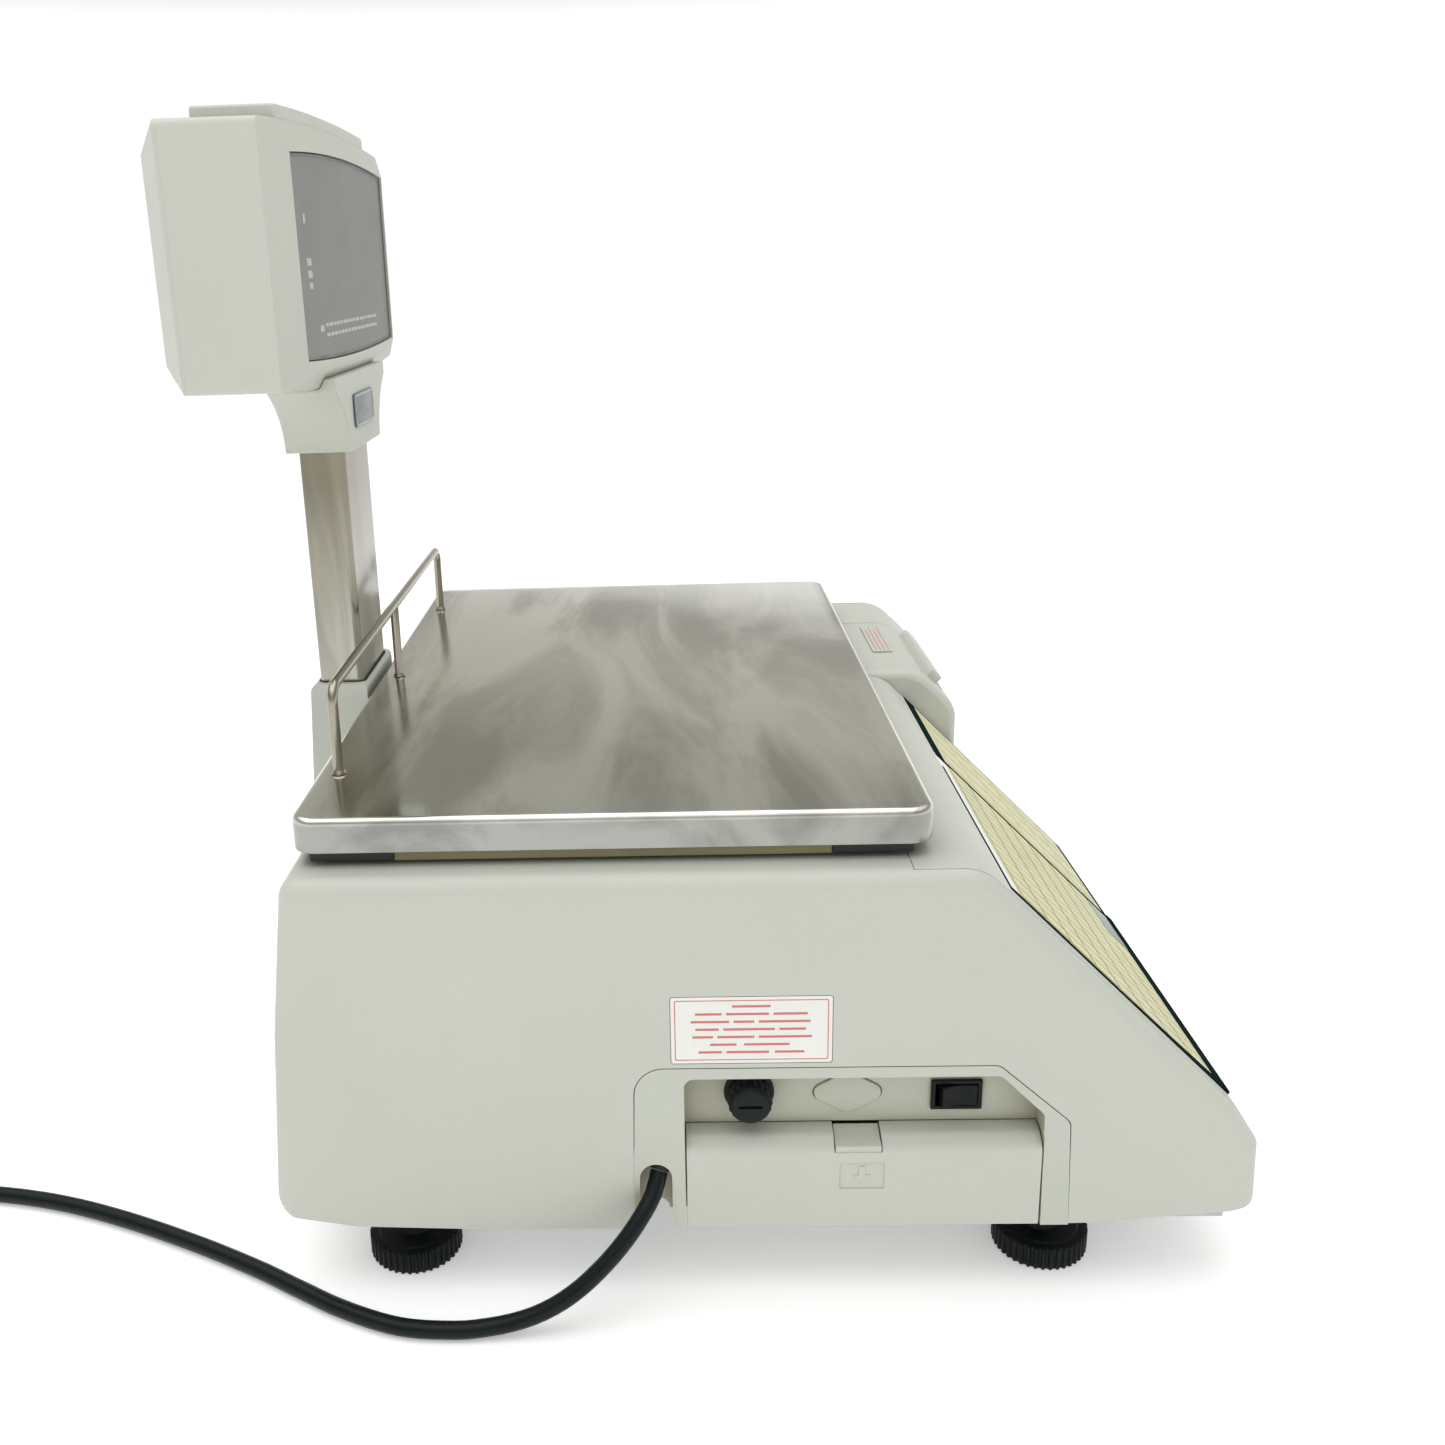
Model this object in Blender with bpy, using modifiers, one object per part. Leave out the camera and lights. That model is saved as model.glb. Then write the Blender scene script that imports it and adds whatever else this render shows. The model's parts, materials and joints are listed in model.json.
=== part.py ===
"""Retail price scale: a counter scale with a steel weighing platter, a keypad slope, a label printer,
a two-sided display on a pole and a mains cord. Metres, +Z up, the operator stands at -Y.
The origin is on the counter, under the middle of the scale without its cord."""

import math

import bmesh
import bpy
from mathutils import Matrix, Vector

# Driving dimensions
HALF_WIDTH = 0.205  # centre plane to a side wall
WALL = 0.003  # housing wall
GAP = 0.0003  # between pieces that touch
TOP_Z = 0.184  # housing top
BASE_Z = 0.030  # housing lower edge
BASE_EDGE_Z = 0.0395  # the outline's corners below this belong to the base
REAR_TOP_Y = 0.160
SEAM_Y = -0.0788  # front edge of the housing top, where the fascia starts
SIDE_LIP = 0.1997  # the fascia lies between the side walls' lips
SLOPE_TOP = Vector((0.0, -0.1145, 0.174))
SLOPE_TILT = math.radians(45.3)
SLOPE_LENGTH = 0.130
BAY_X = 0.045  # left side of the printer cover and of the label bay
BAY_FRONT_Y = -0.146
BAY_FLOOR_Z = 0.070
COVER_EDGE = 0.0045  # radius along the printer cover's left edge
PRINTER_TOP_Z = 0.186

PLATTER_SIZE = (0.382, 0.246)
PLATTER_Y = 0.0345
PLATTER_Z = 0.204
PLATTER_SKIRT = 0.014
SHEET = 0.0012

POLE_X = 0.006
POLE_SIZE = (0.056, 0.022)
POLE_Y = 0.173
HEAD_HALF = 0.118
WINDOW_HALF = 0.0945
HEAD_FRONT_Y = 0.1577
HEAD_SPLIT_Y = 0.203
HEAD_REAR_Y = 0.2175

FOOT_X = 0.176
FOOT_FRONT_Y = -0.141
FOOT_REAR_Y = 0.1245
FOOT_RADIUS = 0.0195

PANEL_X = -HALF_WIDTH  # outer face of the side panel
POCKET_X = -0.193  # back wall of its pocket
SWITCH_CENTRE = (-0.0995, 0.0833)  # Y, Z
FUSE_CENTRE = (-0.0175, 0.0853)
CAL_CENTRE = (-0.0565, 0.0845)
COVER_AXIS = (-0.2037, 0.0320)  # X, Z of the compartment cover's hinge

LID_LEFT, LID_RIGHT = 0.060, 0.150
LID_AXIS = (-0.094, PRINTER_TOP_Z)  # Y, Z

GEAR_MODULE = 0.0008
PLATEN = (-0.128, 0.160)  # Y, Z of each shaft of the printer
IDLER = (-0.128, 0.1422)
PINION = (-0.1124, 0.160)
REWIND = (-0.132, 0.1265)
ROLL = (-0.085, 0.110)
HEAD_PIVOT = (-0.104, 0.1685)
PLATEN_TEETH, IDLER_TEETH, PINION_TEETH, REWIND_TEETH = 24, 20, 14, 20
GEARS_X = 0.141

CORD_RADIUS = 0.0035
CORD_EXIT = Vector((-0.2010, 0.0188, 0.0547))  # tip of the strain relief
CORD_HEADING = Vector((-0.60, 0.28, -0.75)).normalized()
COIL_CENTRE = Vector((-0.1020, 0.4120, 0.0))
COIL_MIDDLE = 0.0385  # radius at the middle of the turns
COIL_HEIGHT = 0.021

FINISHES = {  # colour, roughness, metallic
    "housing": ((0.60, 0.61, 0.53), 0.45, 0.0),
    "keypad_film": ((0.72, 0.67, 0.45), 0.35, 0.0),
    "window": ((0.24, 0.25, 0.23), 0.25, 0.0),
    "stainless": ((0.62, 0.61, 0.58), 0.22, 1.0),
    "aluminium": ((0.66, 0.67, 0.68), 0.35, 1.0),
    "steel": ((0.45, 0.46, 0.47), 0.40, 1.0),
    "black_plastic": ((0.012, 0.014, 0.017), 0.40, 0.0),
    "rubber": ((0.015, 0.015, 0.016), 0.75, 0.0),
    "cord": ((0.010, 0.012, 0.014), 0.45, 0.0),
    "label": ((0.86, 0.86, 0.82), 0.50, 0.0),
    "badge": ((0.22, 0.27, 0.32), 0.35, 0.0),
    "circuit_board": ((0.03, 0.16, 0.08), 0.50, 0.0),
    "paper": ((0.88, 0.88, 0.86), 0.70, 0.0),
    "gear_plastic": ((0.80, 0.79, 0.74), 0.45, 0.0),
    "glass": ((0.75, 0.80, 0.80), 0.10, 0.0),
    "iron": ((0.20, 0.19, 0.18), 0.50, 1.0),
    "frame_casting": ((0.015, 0.018, 0.022), 0.50, 0.0),
}


# ---------------------------------------------------------------- helpers
def new_collection(name):
    made = bpy.data.collections.new(name)
    bpy.context.scene.collection.children.link(made)
    return made


for leftover in list(bpy.data.objects):
    bpy.data.objects.remove(leftover, do_unlink=True)
PARTS = new_collection("retail_price_scale")
CUTTERS = new_collection("cutters")
CUTTERS.hide_render = True


def finish_material(slot):
    if slot in bpy.data.materials:
        return bpy.data.materials[slot]
    colour, roughness, metallic = FINISHES[slot]
    made = bpy.data.materials.new(slot)
    made.use_nodes = True
    shader = made.node_tree.nodes["Principled BSDF"]
    shader.inputs["Base Color"].default_value = (*colour, 1.0)
    shader.inputs["Roughness"].default_value = roughness
    shader.inputs["Metallic"].default_value = metallic
    return made


def place(name, data, slot):
    """Adds a mesh or curve as a part, or as a helper when it has no finish."""
    obj = bpy.data.objects.new(name, data)
    if slot is None:
        CUTTERS.objects.link(obj)
        obj.hide_render = True
        obj.display_type = "WIRE"
    else:
        PARTS.objects.link(obj)
        data.materials.append(finish_material(slot))
    return obj


def mesh_from(bm, name):
    for vert in bm.verts:  # faces meant to share a plane then share it exactly
        vert.co = [round(value, 6) for value in vert.co]
    bmesh.ops.recalc_face_normals(bm, faces=bm.faces)
    mesh = bpy.data.meshes.new(name)
    bm.to_mesh(mesh)
    bm.free()
    return mesh


def box(name, low, high, slot=None, bevel=0.0, matrix=None):
    """A block between two corners, with its edges rounded by bevel."""
    low, high = Vector(low), Vector(high)
    bm = bmesh.new()
    bmesh.ops.create_cube(bm, size=1.0)
    bmesh.ops.scale(bm, vec=high - low, verts=bm.verts)
    bmesh.ops.translate(bm, vec=(low + high) / 2, verts=bm.verts)
    if matrix is not None:
        bmesh.ops.transform(bm, matrix=matrix, verts=bm.verts)
    obj = place(name, mesh_from(bm, name), slot)
    if bevel:
        rounding = obj.modifiers.new("rounding", "BEVEL")
        rounding.width = bevel
        rounding.segments = 2
    return obj


def rounded(corners, arc_step=math.radians(22)):
    """The outline through (a, b, radius) corners, with an arc at each corner that has a radius."""
    outline = []
    count = len(corners)
    for i, (a, b, radius) in enumerate(corners):
        here = Vector((a, b))
        before = (Vector(corners[i - 1][:2]) - here).normalized()
        after = (Vector(corners[(i + 1) % count][:2]) - here).normalized()
        between = before.angle(after)
        if radius <= 0 or between > math.radians(178):
            outline.append((a, b))
            continue
        reach = radius / math.tan(between / 2)
        centre = here + (before + after).normalized() * (radius / math.sin(between / 2))
        start, end = here + before * reach - centre, here + after * reach - centre
        turn = start.angle_signed(end)
        steps = max(1, math.ceil(abs(turn) / arc_step))
        for k in range(steps + 1):
            spoke = start.copy()
            spoke.rotate(Matrix.Rotation(-turn * k / steps, 2))
            outline.append(tuple(centre + spoke))
    return outline


def inset(corners, distance, base_distance=None):
    """The corner list moved inwards by distance, or by base_distance at edges of the base. It runs anticlockwise."""
    moved = []
    count = len(corners)
    for i, (a, b, radius) in enumerate(corners):
        here, before, after = (Vector(corners[k % count][:2]) for k in (i, i - 1, i + 1))
        normals, offsets = [], []
        for start, end in ((before, here), (here, after)):
            along = (end - start).normalized()
            normals.append(Vector((-along.y, along.x)))
            is_base = base_distance is not None and max(start.y, end.y) < BASE_EDGE_Z
            offsets.append(base_distance if is_base else distance)
        (first, second), (near, far) = normals, offsets
        cross = first.x * second.y - first.y * second.x
        shift = Vector((near * second.y - far * first.y, first.x * far - second.x * near)) / cross
        changed = radius - distance if cross > 0 else radius + distance
        point = here + shift
        moved.append((round(point.x, 6), round(point.y, 6), 0.0 if radius == 0 else max(changed, 0.0005)))
    return moved


AXIS_TURNS = {
    "X": Matrix(((0, 0, 1, 0), (1, 0, 0, 0), (0, 1, 0, 0), (0, 0, 0, 1))),
    "Y": Matrix(((1, 0, 0, 0), (0, 0, -1, 0), (0, 1, 0, 0), (0, 0, 0, 1))),
    "Z": Matrix.Identity(4),
}


def slab(name, outline, axis, low, high, slot=None):
    """A flat outline in the other two axes, in X, Y, Z order, that runs from low to high along axis."""
    curve = bpy.data.curves.new(name, "CURVE")
    curve.dimensions = "2D"
    curve.fill_mode = "BOTH"
    curve.extrude = (high - low) / 2
    spline = curve.splines.new("POLY")
    spline.points.add(len(outline) - 1)
    for point, (a, b) in zip(spline.points, outline):
        point.co = (a, b, 0.0, 1.0)
    spline.use_cyclic_u = True
    guide = bpy.data.objects.new(name, curve)
    CUTTERS.objects.link(guide)
    mesh = bpy.data.meshes.new_from_object(guide.evaluated_get(bpy.context.evaluated_depsgraph_get()))
    bpy.data.objects.remove(guide)
    bm = bmesh.new()
    bm.from_mesh(mesh)
    bmesh.ops.remove_doubles(bm, verts=bm.verts, dist=1e-6)
    middle = Vector({"X": (1, 0, 0), "Y": (0, 1, 0), "Z": (0, 0, 1)}[axis]) * ((low + high) / 2)
    bmesh.ops.transform(bm, matrix=Matrix.Translation(middle) @ AXIS_TURNS[axis], verts=bm.verts)
    bpy.data.meshes.remove(mesh)
    return place(name, mesh_from(bm, name), slot)


def disc(name, centre, axis, radius, low, high, slot=None, sides=24, top_radius=None):
    """A cylinder or cone frustum along an axis; centre gives its place in the other two axes."""
    bm = bmesh.new()
    bmesh.ops.create_cone(
        bm,
        cap_ends=True,
        segments=sides,
        radius1=radius,
        radius2=radius if top_radius is None else top_radius,
        depth=high - low,
    )
    a, b = centre
    c = (low + high) / 2
    middle = Vector({"X": (c, a, b), "Y": (a, c, b), "Z": (a, b, c)}[axis])
    bmesh.ops.transform(bm, matrix=Matrix.Translation(middle) @ AXIS_TURNS[axis], verts=bm.verts)
    return place(name, mesh_from(bm, name), slot)


def turned(name, profile, centre, slot, steps=24, axis="Z"):
    """A profile of (radius, height) turned about an axis through centre: a ring, or a solid when it starts at 0."""
    following = profile[1:] + profile[:1]
    if sum(r * next_h - next_r * h for (r, h), (next_r, next_h) in zip(profile, following)) > 0:
        profile = profile[::-1]  # down the outer side, so that the faces point out
    mesh = bpy.data.meshes.new(name)
    points = [(radius, 0.0, height) for radius, height in profile]
    edges = [(i, i + 1) for i in range(len(points) - 1)]
    if profile[0][0] > 0:  # a ring: the profile closes on itself
        edges.append((len(points) - 1, 0))
    mesh.from_pydata(points, edges, [])
    obj = place(name, mesh, slot)
    obj.matrix_world = Matrix.Translation(centre) @ AXIS_TURNS[axis]
    screw = obj.modifiers.new("turning", "SCREW")
    screw.steps = screw.render_steps = steps
    screw.use_merge_vertices = True
    screw.merge_threshold = 1e-5
    return obj


def wire(name, points, radius, slot, resolution=2, cyclic=False):
    """A round bar or cord through the points."""
    curve = bpy.data.curves.new(name, "CURVE")
    curve.dimensions = "3D"
    curve.bevel_depth = radius
    curve.bevel_resolution = resolution
    curve.use_fill_caps = True
    spline = curve.splines.new("POLY")
    spline.points.add(len(points) - 1)
    for point, place_at in zip(spline.points, points):
        point.co = (*place_at, 1.0)
    spline.use_cyclic_u = cyclic
    return place(name, curve, slot)


def as_mesh(obj):
    """The curve object as a closed mesh object that a Boolean can use."""
    mesh = bpy.data.meshes.new_from_object(obj.evaluated_get(bpy.context.evaluated_depsgraph_get()))
    bm = bmesh.new()
    bm.from_mesh(mesh)
    bmesh.ops.remove_doubles(bm, verts=bm.verts, dist=1e-6)
    bmesh.ops.recalc_face_normals(bm, faces=bm.faces)
    bm.to_mesh(mesh)
    bm.free()
    name = obj.name
    home = obj.users_collection[0]
    obj.name = name + "_guide"
    made = bpy.data.objects.new(name, mesh)
    made.matrix_world = obj.matrix_world
    home.objects.link(made)
    made.hide_render = obj.hide_render
    made.display_type = obj.display_type
    bpy.data.objects.remove(obj)
    return made


def combine(obj, operation, *others):
    """Boolean of obj with each helper."""
    for other in others:
        step = obj.modifiers.new(operation.lower() + "_" + other.name, "BOOLEAN")
        step.operation = operation
        step.solver = "EXACT"
        step.object = other
    return obj


def cut(obj, *others):
    return combine(obj, "DIFFERENCE", *others)


def add(obj, *others):
    return combine(obj, "UNION", *others)


def keep(obj, *others):
    return combine(obj, "INTERSECT", *others)


def settled(name, obj, slot):
    """A new object that holds the shape that obj's modifiers give."""
    graph = bpy.context.evaluated_depsgraph_get()
    mesh = bpy.data.meshes.new_from_object(obj.evaluated_get(graph))
    mesh.transform(obj.matrix_world)
    mesh.materials.clear()
    bm = bmesh.new()
    bm.from_mesh(mesh)
    bmesh.ops.remove_doubles(bm, verts=bm.verts, dist=2e-6)
    bmesh.ops.dissolve_degenerate(bm, edges=bm.edges, dist=2e-6)
    bm.to_mesh(mesh)
    bm.free()
    return place(name, mesh, slot)


def loft(name, rings, slot=None):
    """A closed skin through rings with equal point counts."""
    bm = bmesh.new()
    loops = [[bm.verts.new(point) for point in ring] for ring in rings]
    count = len(loops[0])
    for first, second in zip(loops, loops[1:]):
        for i in range(count):
            bm.faces.new((first[i], first[(i + 1) % count], second[(i + 1) % count], second[i]))
    for end in (loops[0], loops[-1]):
        bm.faces.new(end)
    return place(name, mesh_from(bm, name), slot)


def along_cord(at, heading):
    """A frame at a point whose Z axis runs along heading."""
    return Matrix.Translation(at) @ heading.to_track_quat("Z", "Y").to_matrix().to_4x4()


SLOPE_FRAME = Matrix.Translation(SLOPE_TOP) @ Matrix.Rotation(SLOPE_TILT, 4, "X")


def slope_box(name, x_range, down_range, out_range, slot=None, bevel=0.0):
    """A block on the keypad slope: X range, distances down the slope, heights above its surface."""
    low = (x_range[0], -down_range[1], out_range[0])
    high = (x_range[1], -down_range[0], out_range[1])
    return box(name, low, high, slot, bevel, SLOPE_FRAME)


def gear_outline(centre, teeth, phase):
    """A spur gear's outline with straight-sided teeth; phase is the angle of one tooth."""
    pitch = GEAR_MODULE * teeth / 2
    tip, root = pitch + 0.85 * GEAR_MODULE, pitch - 1.15 * GEAR_MODULE
    step = 2 * math.pi / teeth
    corners = ((root, -0.33), (tip, -0.13), (tip, 0.13), (root, 0.33))
    outline = []
    for k in range(teeth):
        for radius, share in corners:
            angle = phase + step * (k + share)
            outline.append((centre[0] + radius * math.cos(angle), centre[1] + radius * math.sin(angle)))
    return outline


def mesh_phase(driver, driver_teeth, driver_phase, follower, follower_teeth):
    """The follower's tooth angle that puts a gap where the driver has a tooth, and the reverse."""
    towards = math.atan2(follower[1] - driver[1], follower[0] - driver[0])
    share = ((towards - driver_phase) / (2 * math.pi / driver_teeth)) % 1.0
    follower_step = 2 * math.pi / follower_teeth
    return towards + math.pi + follower_step * (share + 0.5)


# ---------------------------------------------------------------- housing
def slope_y(z):
    """Where the keypad slope reaches a height."""
    return SLOPE_TOP.y - (SLOPE_TOP.z - z) / math.tan(SLOPE_TILT)


REAR_AND_BASE = [  # Y, Z, radius, from the nose along the base to the top of the rear wall
    (-0.2173, 0.0440, 0.0),
    (-0.2175, 0.0390, 0.003),
    (-0.2065, 0.0360, 0.0),
    (-0.1525, 0.0312, 0.0),
    (-0.0965, BASE_Z, 0.0),
    (0.0855, BASE_Z, 0.0),
    (0.1425, 0.0320, 0.0),
    (0.1750, 0.0378, 0.009),
    (0.1685, 0.1180, 0.0),
    (REAR_TOP_Y, TOP_Z, 0.008),
]
KEYPAD_SIDE = REAR_AND_BASE + [
    (slope_y(TOP_Z), TOP_Z, 0.018),
    (slope_y(0.0812), 0.0812, 0.010),
    (-0.2165, 0.0650, 0.004),
]
PRINTER_SIDE = REAR_AND_BASE + [
    (-0.0860, TOP_Z, 0.0),
    (-0.0900, PRINTER_TOP_Z, 0.0),
    (-0.1247, PRINTER_TOP_Z, 0.024),
    (BAY_FRONT_Y, 0.1650, 0.016),
    (BAY_FRONT_Y, BAY_FLOOR_Z, 0.003),
    (-0.2165, 0.0490, 0.002),
]


def body_block(name, corners, from_x, to_x, rounding):
    """A side profile that runs across the scale and has a rounded edge where it ends at to_x."""
    outward = 1 if to_x > from_x else -1
    rings = [(from_x, 0.0)]
    for k in range(4):
        angle = math.pi / 2 * k / 3
        rings.append((to_x - outward * rounding * (1 - math.sin(angle)), rounding * (1 - math.cos(angle))))
    return loft(name, [[(x, y, z) for y, z in rounded(inset(corners, depth, 0.0))] for x, depth in rings])


def body_shell():
    """The whole outer skin with its open base, before it is parted into housing, fascia and printer cover."""
    left = body_block("body_left", KEYPAD_SIDE, BAY_X + 0.001, -HALF_WIDTH, 0.007)
    right = body_block("body_right", PRINTER_SIDE, BAY_X, HALF_WIDTH, 0.003)
    inner = HALF_WIDTH - WALL
    left_room = slab("room_left", rounded(inset(KEYPAD_SIDE, WALL)), "X", -inner, BAY_X - 0.002)
    right_room = slab("room_right", rounded(inset(PRINTER_SIDE, WALL)), "X", BAY_X + 0.003, inner)
    passage = box("room_passage", (0.040, -0.098, 0.034), (0.050, 0.150, 0.1805))
    passage_low = box("room_passage_low", (0.040, -0.1425, 0.034), (0.050, -0.090, 0.136))
    base_opening = box("base_opening", (-inner, -0.206, 0.020), (inner, 0.150, 0.052))
    add(left, right)
    cut(left, left_room, right_room, passage, passage_low, base_opening)
    return left


def cover_edge_cutter():
    """What the rounded left edge of the printer cover leaves away."""
    corners = [
        (-0.2000, 0.0600, 0.0),
        (-0.0500, 0.0600, 0.0),
        (-0.0500, PRINTER_TOP_Z, 0.0),
        *PRINTER_SIDE[-4:-3],
        (BAY_FRONT_Y, 0.1650, 0.016),
        (BAY_FRONT_Y, 0.0900, 0.0),
        (-0.2000, 0.0900, 0.0),
    ]
    rings = []
    for k in range(5):
        angle = math.pi / 2 * k / 4
        rings.append((BAY_X + COVER_EDGE * (1 - math.cos(angle)), COVER_EDGE * (1 - math.sin(angle))))
    rings = [(BAY_X - 0.002, rings[0][1]), *rings[1:]]
    rounded_end = loft("cover_rounded_end", [[(x, y, z) for y, z in rounded(inset(corners, depth))] for x, depth in rings])
    cutter = box("cover_edge_cutter", (BAY_X - 0.001, -0.1600, 0.1080), (BAY_X + COVER_EDGE - 0.0001, -0.0945, 0.1950))
    return cut(cutter, rounded_end)


def make_housing():
    shell = body_shell()
    front_room = box("front_room", (-0.200, -0.230, 0.020), (0.200, SEAM_Y + GAP, 0.200))
    pole_slot = box("pole_slot", (POLE_X - 0.0325, 0.1593, 0.020), (POLE_X + 0.0325, 0.200, 0.200))
    load_hole = slab("load_hole", rounded([(0.034, 0.010, 0.006), (0.086, 0.010, 0.006),
                     (0.086, 0.059, 0.006), (0.034, 0.059, 0.006)]), "Z", 0.170, 0.190)
    hole_outline = [(y, z - 0.010 if z < 0.040 else z, r) for y, z, r in inset(PANEL_CORNERS, -0.0004)]
    panel_hole = slab("panel_hole", rounded(hole_outline), "X", -0.210, -0.200)
    housing = settled("housing_shell", shell, "housing")
    label_field = box("label_field", (-0.210, -0.0490, 0.1054), (-HALF_WIDTH + 0.0006, 0.0134, 0.1346))
    cut(housing, front_room, pole_slot, load_hole, panel_hole, label_field)

    fascia = settled("front_fascia", shell, "housing")
    keypad_zone = box("keypad_zone", (-SIDE_LIP, -0.230, 0.020), (BAY_X - GAP, SEAM_Y, 0.200))
    bay_zone = box("bay_zone", (-SIDE_LIP, -0.230, 0.020), (SIDE_LIP, BAY_FRONT_Y - GAP, 0.200))
    shelf_zone = box("shelf_zone", (0.030, -0.200, 0.020), (SIDE_LIP, -0.142, BAY_FLOOR_Z - 0.002))
    zone = settled("fascia_zone", add(keypad_zone, bay_zone, shelf_zone), None)
    recess = slope_box("keypad_recess", (-0.1964, 0.0440), (0.0006, 0.1294), (-0.0010, 0.0100))
    keep(fascia, zone)
    cut(fascia, recess)

    cover = settled("printer_cover", shell, "housing")
    cover_zone = box("cover_zone", (BAY_X, BAY_FRONT_Y - 0.0001, BAY_FLOOR_Z - 0.0015), (SIDE_LIP, SEAM_Y, 0.200))
    lid_zone = box("lid_zone", (LID_LEFT, -0.140, 0.150), (LID_RIGHT, LID_AXIS[0], 0.200))
    lid_room = box("lid_room", (LID_LEFT - GAP, -0.140 - GAP, 0.150), (LID_RIGHT + GAP, LID_AXIS[0] + GAP, 0.200))
    outlet = box("label_outlet", (0.068, -0.150, 0.1500), (0.134, -0.140, 0.1560))
    keep(cover, cover_zone)
    cut(cover, lid_room, outlet, cover_edge_cutter())

    lid = settled("printer_lid", shell, "housing")
    lip_at = Matrix.Translation((0.0, -0.1352, 0.1765)) @ Matrix.Rotation(math.radians(44.0), 4, "X")
    lip = box("lid_lip", (LID_LEFT + 0.002, -0.0042, -0.0030), (LID_RIGHT - 0.002, 0.0042, 0.0042), None, 0.0, lip_at)
    keep(lid, lid_zone)
    add(lid, lip)


def make_base_pan():
    pan = box("bottom_pan", (-0.2015, -0.2055, 0.0310), (0.2015, 0.1495, 0.0340), "steel")
    for side in (-1, 1):
        for y in (FOOT_FRONT_Y, FOOT_REAR_Y):
            cut(pan, disc("foot_hole", (side * FOOT_X, y), "Z", 0.0053, 0.020, 0.050, sides=16))
    cut(pan, box("pocket_notch", (-0.210, -0.1365, 0.020), (-0.1585, 0.0330, 0.050)))


# ---------------------------------------------------------------- side panel with its compartment
PANEL_CORNERS = [  # Y, Z, radius
    (-0.1435, 0.0303, 0.0),
    (0.0295, 0.0303, 0.0),
    (0.0275, 0.1032, 0.0115),
    (-0.1130, 0.1030, 0.005),
    (-0.1415, 0.0775, 0.005),
]
POCKET_CORNERS = [
    (-0.1325, 0.0280, 0.0),
    (0.0085, 0.0280, 0.0),
    (0.0085, 0.0985, 0.004),
    (-0.1140, 0.0985, 0.004),
    (-0.1315, 0.0810, 0.004),
]
NOTCH_Y = 0.0202  # middle of the cord's groove


def diamond(grow):
    y, z = CAL_CENTRE
    wide, high = 0.0176 + grow, 0.0098 + grow
    return rounded([(y - wide, z, 0.004), (y, z - high, 0.005), (y + wide, z, 0.004), (y, z + high, 0.005)])


def make_side_panel():
    panel = slab("side_panel", rounded(PANEL_CORNERS), "X", PANEL_X, PANEL_X + 0.0026, "housing")
    rim = [(y, max(z, 0.0310), r) for y, z, r in inset(POCKET_CORNERS, -0.002)]
    pocket_walls = slab("pocket_walls", rounded(rim), "X", PANEL_X + 0.0005, POCKET_X + 0.002)
    case = box("compartment_case", (-0.2040, -0.1345, 0.0358), (-0.1600, 0.0105, 0.0735))
    groove_block = box("groove_block", (-0.2045, 0.0100, 0.0310), (-0.1800, 0.0280, 0.0655))
    pocket = slab("pocket_room", rounded(POCKET_CORNERS), "X", -0.2100, POCKET_X)
    room = box("compartment_room", (-0.2100, -0.1320, 0.0380), (-0.1620, 0.0080, 0.0712))
    y, half = NOTCH_Y, 0.0064
    groove = slab("cord_groove", rounded([(y - half, 0.020, 0.0), (y + half, 0.020, 0.0), (y + half, 0.060, 0.0063),
                  (y - half, 0.060, 0.0063)]), "X", -0.2100, -0.1935)
    groove_mouth = disc("groove_mouth", (y, 0.0310), "X", 0.0052, -0.1960, -0.1700, sides=20)
    gland_hole = disc("gland_hole", (0.0, 0.0), "Z", 0.0049, -0.010, 0.040, sides=20)
    gland_hole.matrix_world = along_cord(CORD_EXIT, -CORD_HEADING)
    add(panel, pocket_walls, case, groove_block)
    cut(panel, pocket, room, groove, groove_mouth, gland_hole)
    y, z = SWITCH_CENTRE
    cut(panel, box("switch_hole", (-0.2, y - 0.0096, z - 0.0067), (-0.185, y + 0.0096, z + 0.0067)))
    cut(panel, disc("fuse_hole", FUSE_CENTRE, "X", 0.0078, -0.2, -0.185, sides=24))
    cut(panel, slab("calibration_hole", diamond(0.0003), "X", -0.2, -0.185))


def make_compartment_cover():
    section = [
        (-0.2025, 0.0305, 0.0),
        (-0.2025, 0.0650, 0.0030),
        (-0.1936, 0.0686, 0.0),
        (-0.1936, 0.0711, 0.0008),
        (-0.1995, 0.0702, 0.006),
        (-0.2050, 0.0660, 0.005),
        (-0.2050, 0.0305, 0.0008),
    ]
    cover = slab("compartment_cover", rounded(section), "Y", -0.1308, 0.0079, "housing")
    cut(cover, box("latch_slot", (-0.2100, -0.0692, 0.0645), (-0.1900, -0.0504, 0.0800)))
    cut(cover, box("arrow_field", (-0.2100, -0.0701, 0.0480), (-0.2046, -0.0525, 0.0600)))
    tongue = [
        (-0.2046, 0.0600, 0.0),
        (-0.2046, 0.0655, 0.0),
        (-0.2050, 0.0672, 0.0006),
        (-0.1990, 0.0684, 0.004),
        (-0.1936, 0.0702, 0.0),
        (-0.1936, 0.0686, 0.0),
        (-0.2022, 0.0652, 0.0),
        (-0.2030, 0.0600, 0.0),
    ]
    add(cover, slab("cover_latch", rounded(tongue), "Y", -0.0688, -0.0508))


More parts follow.
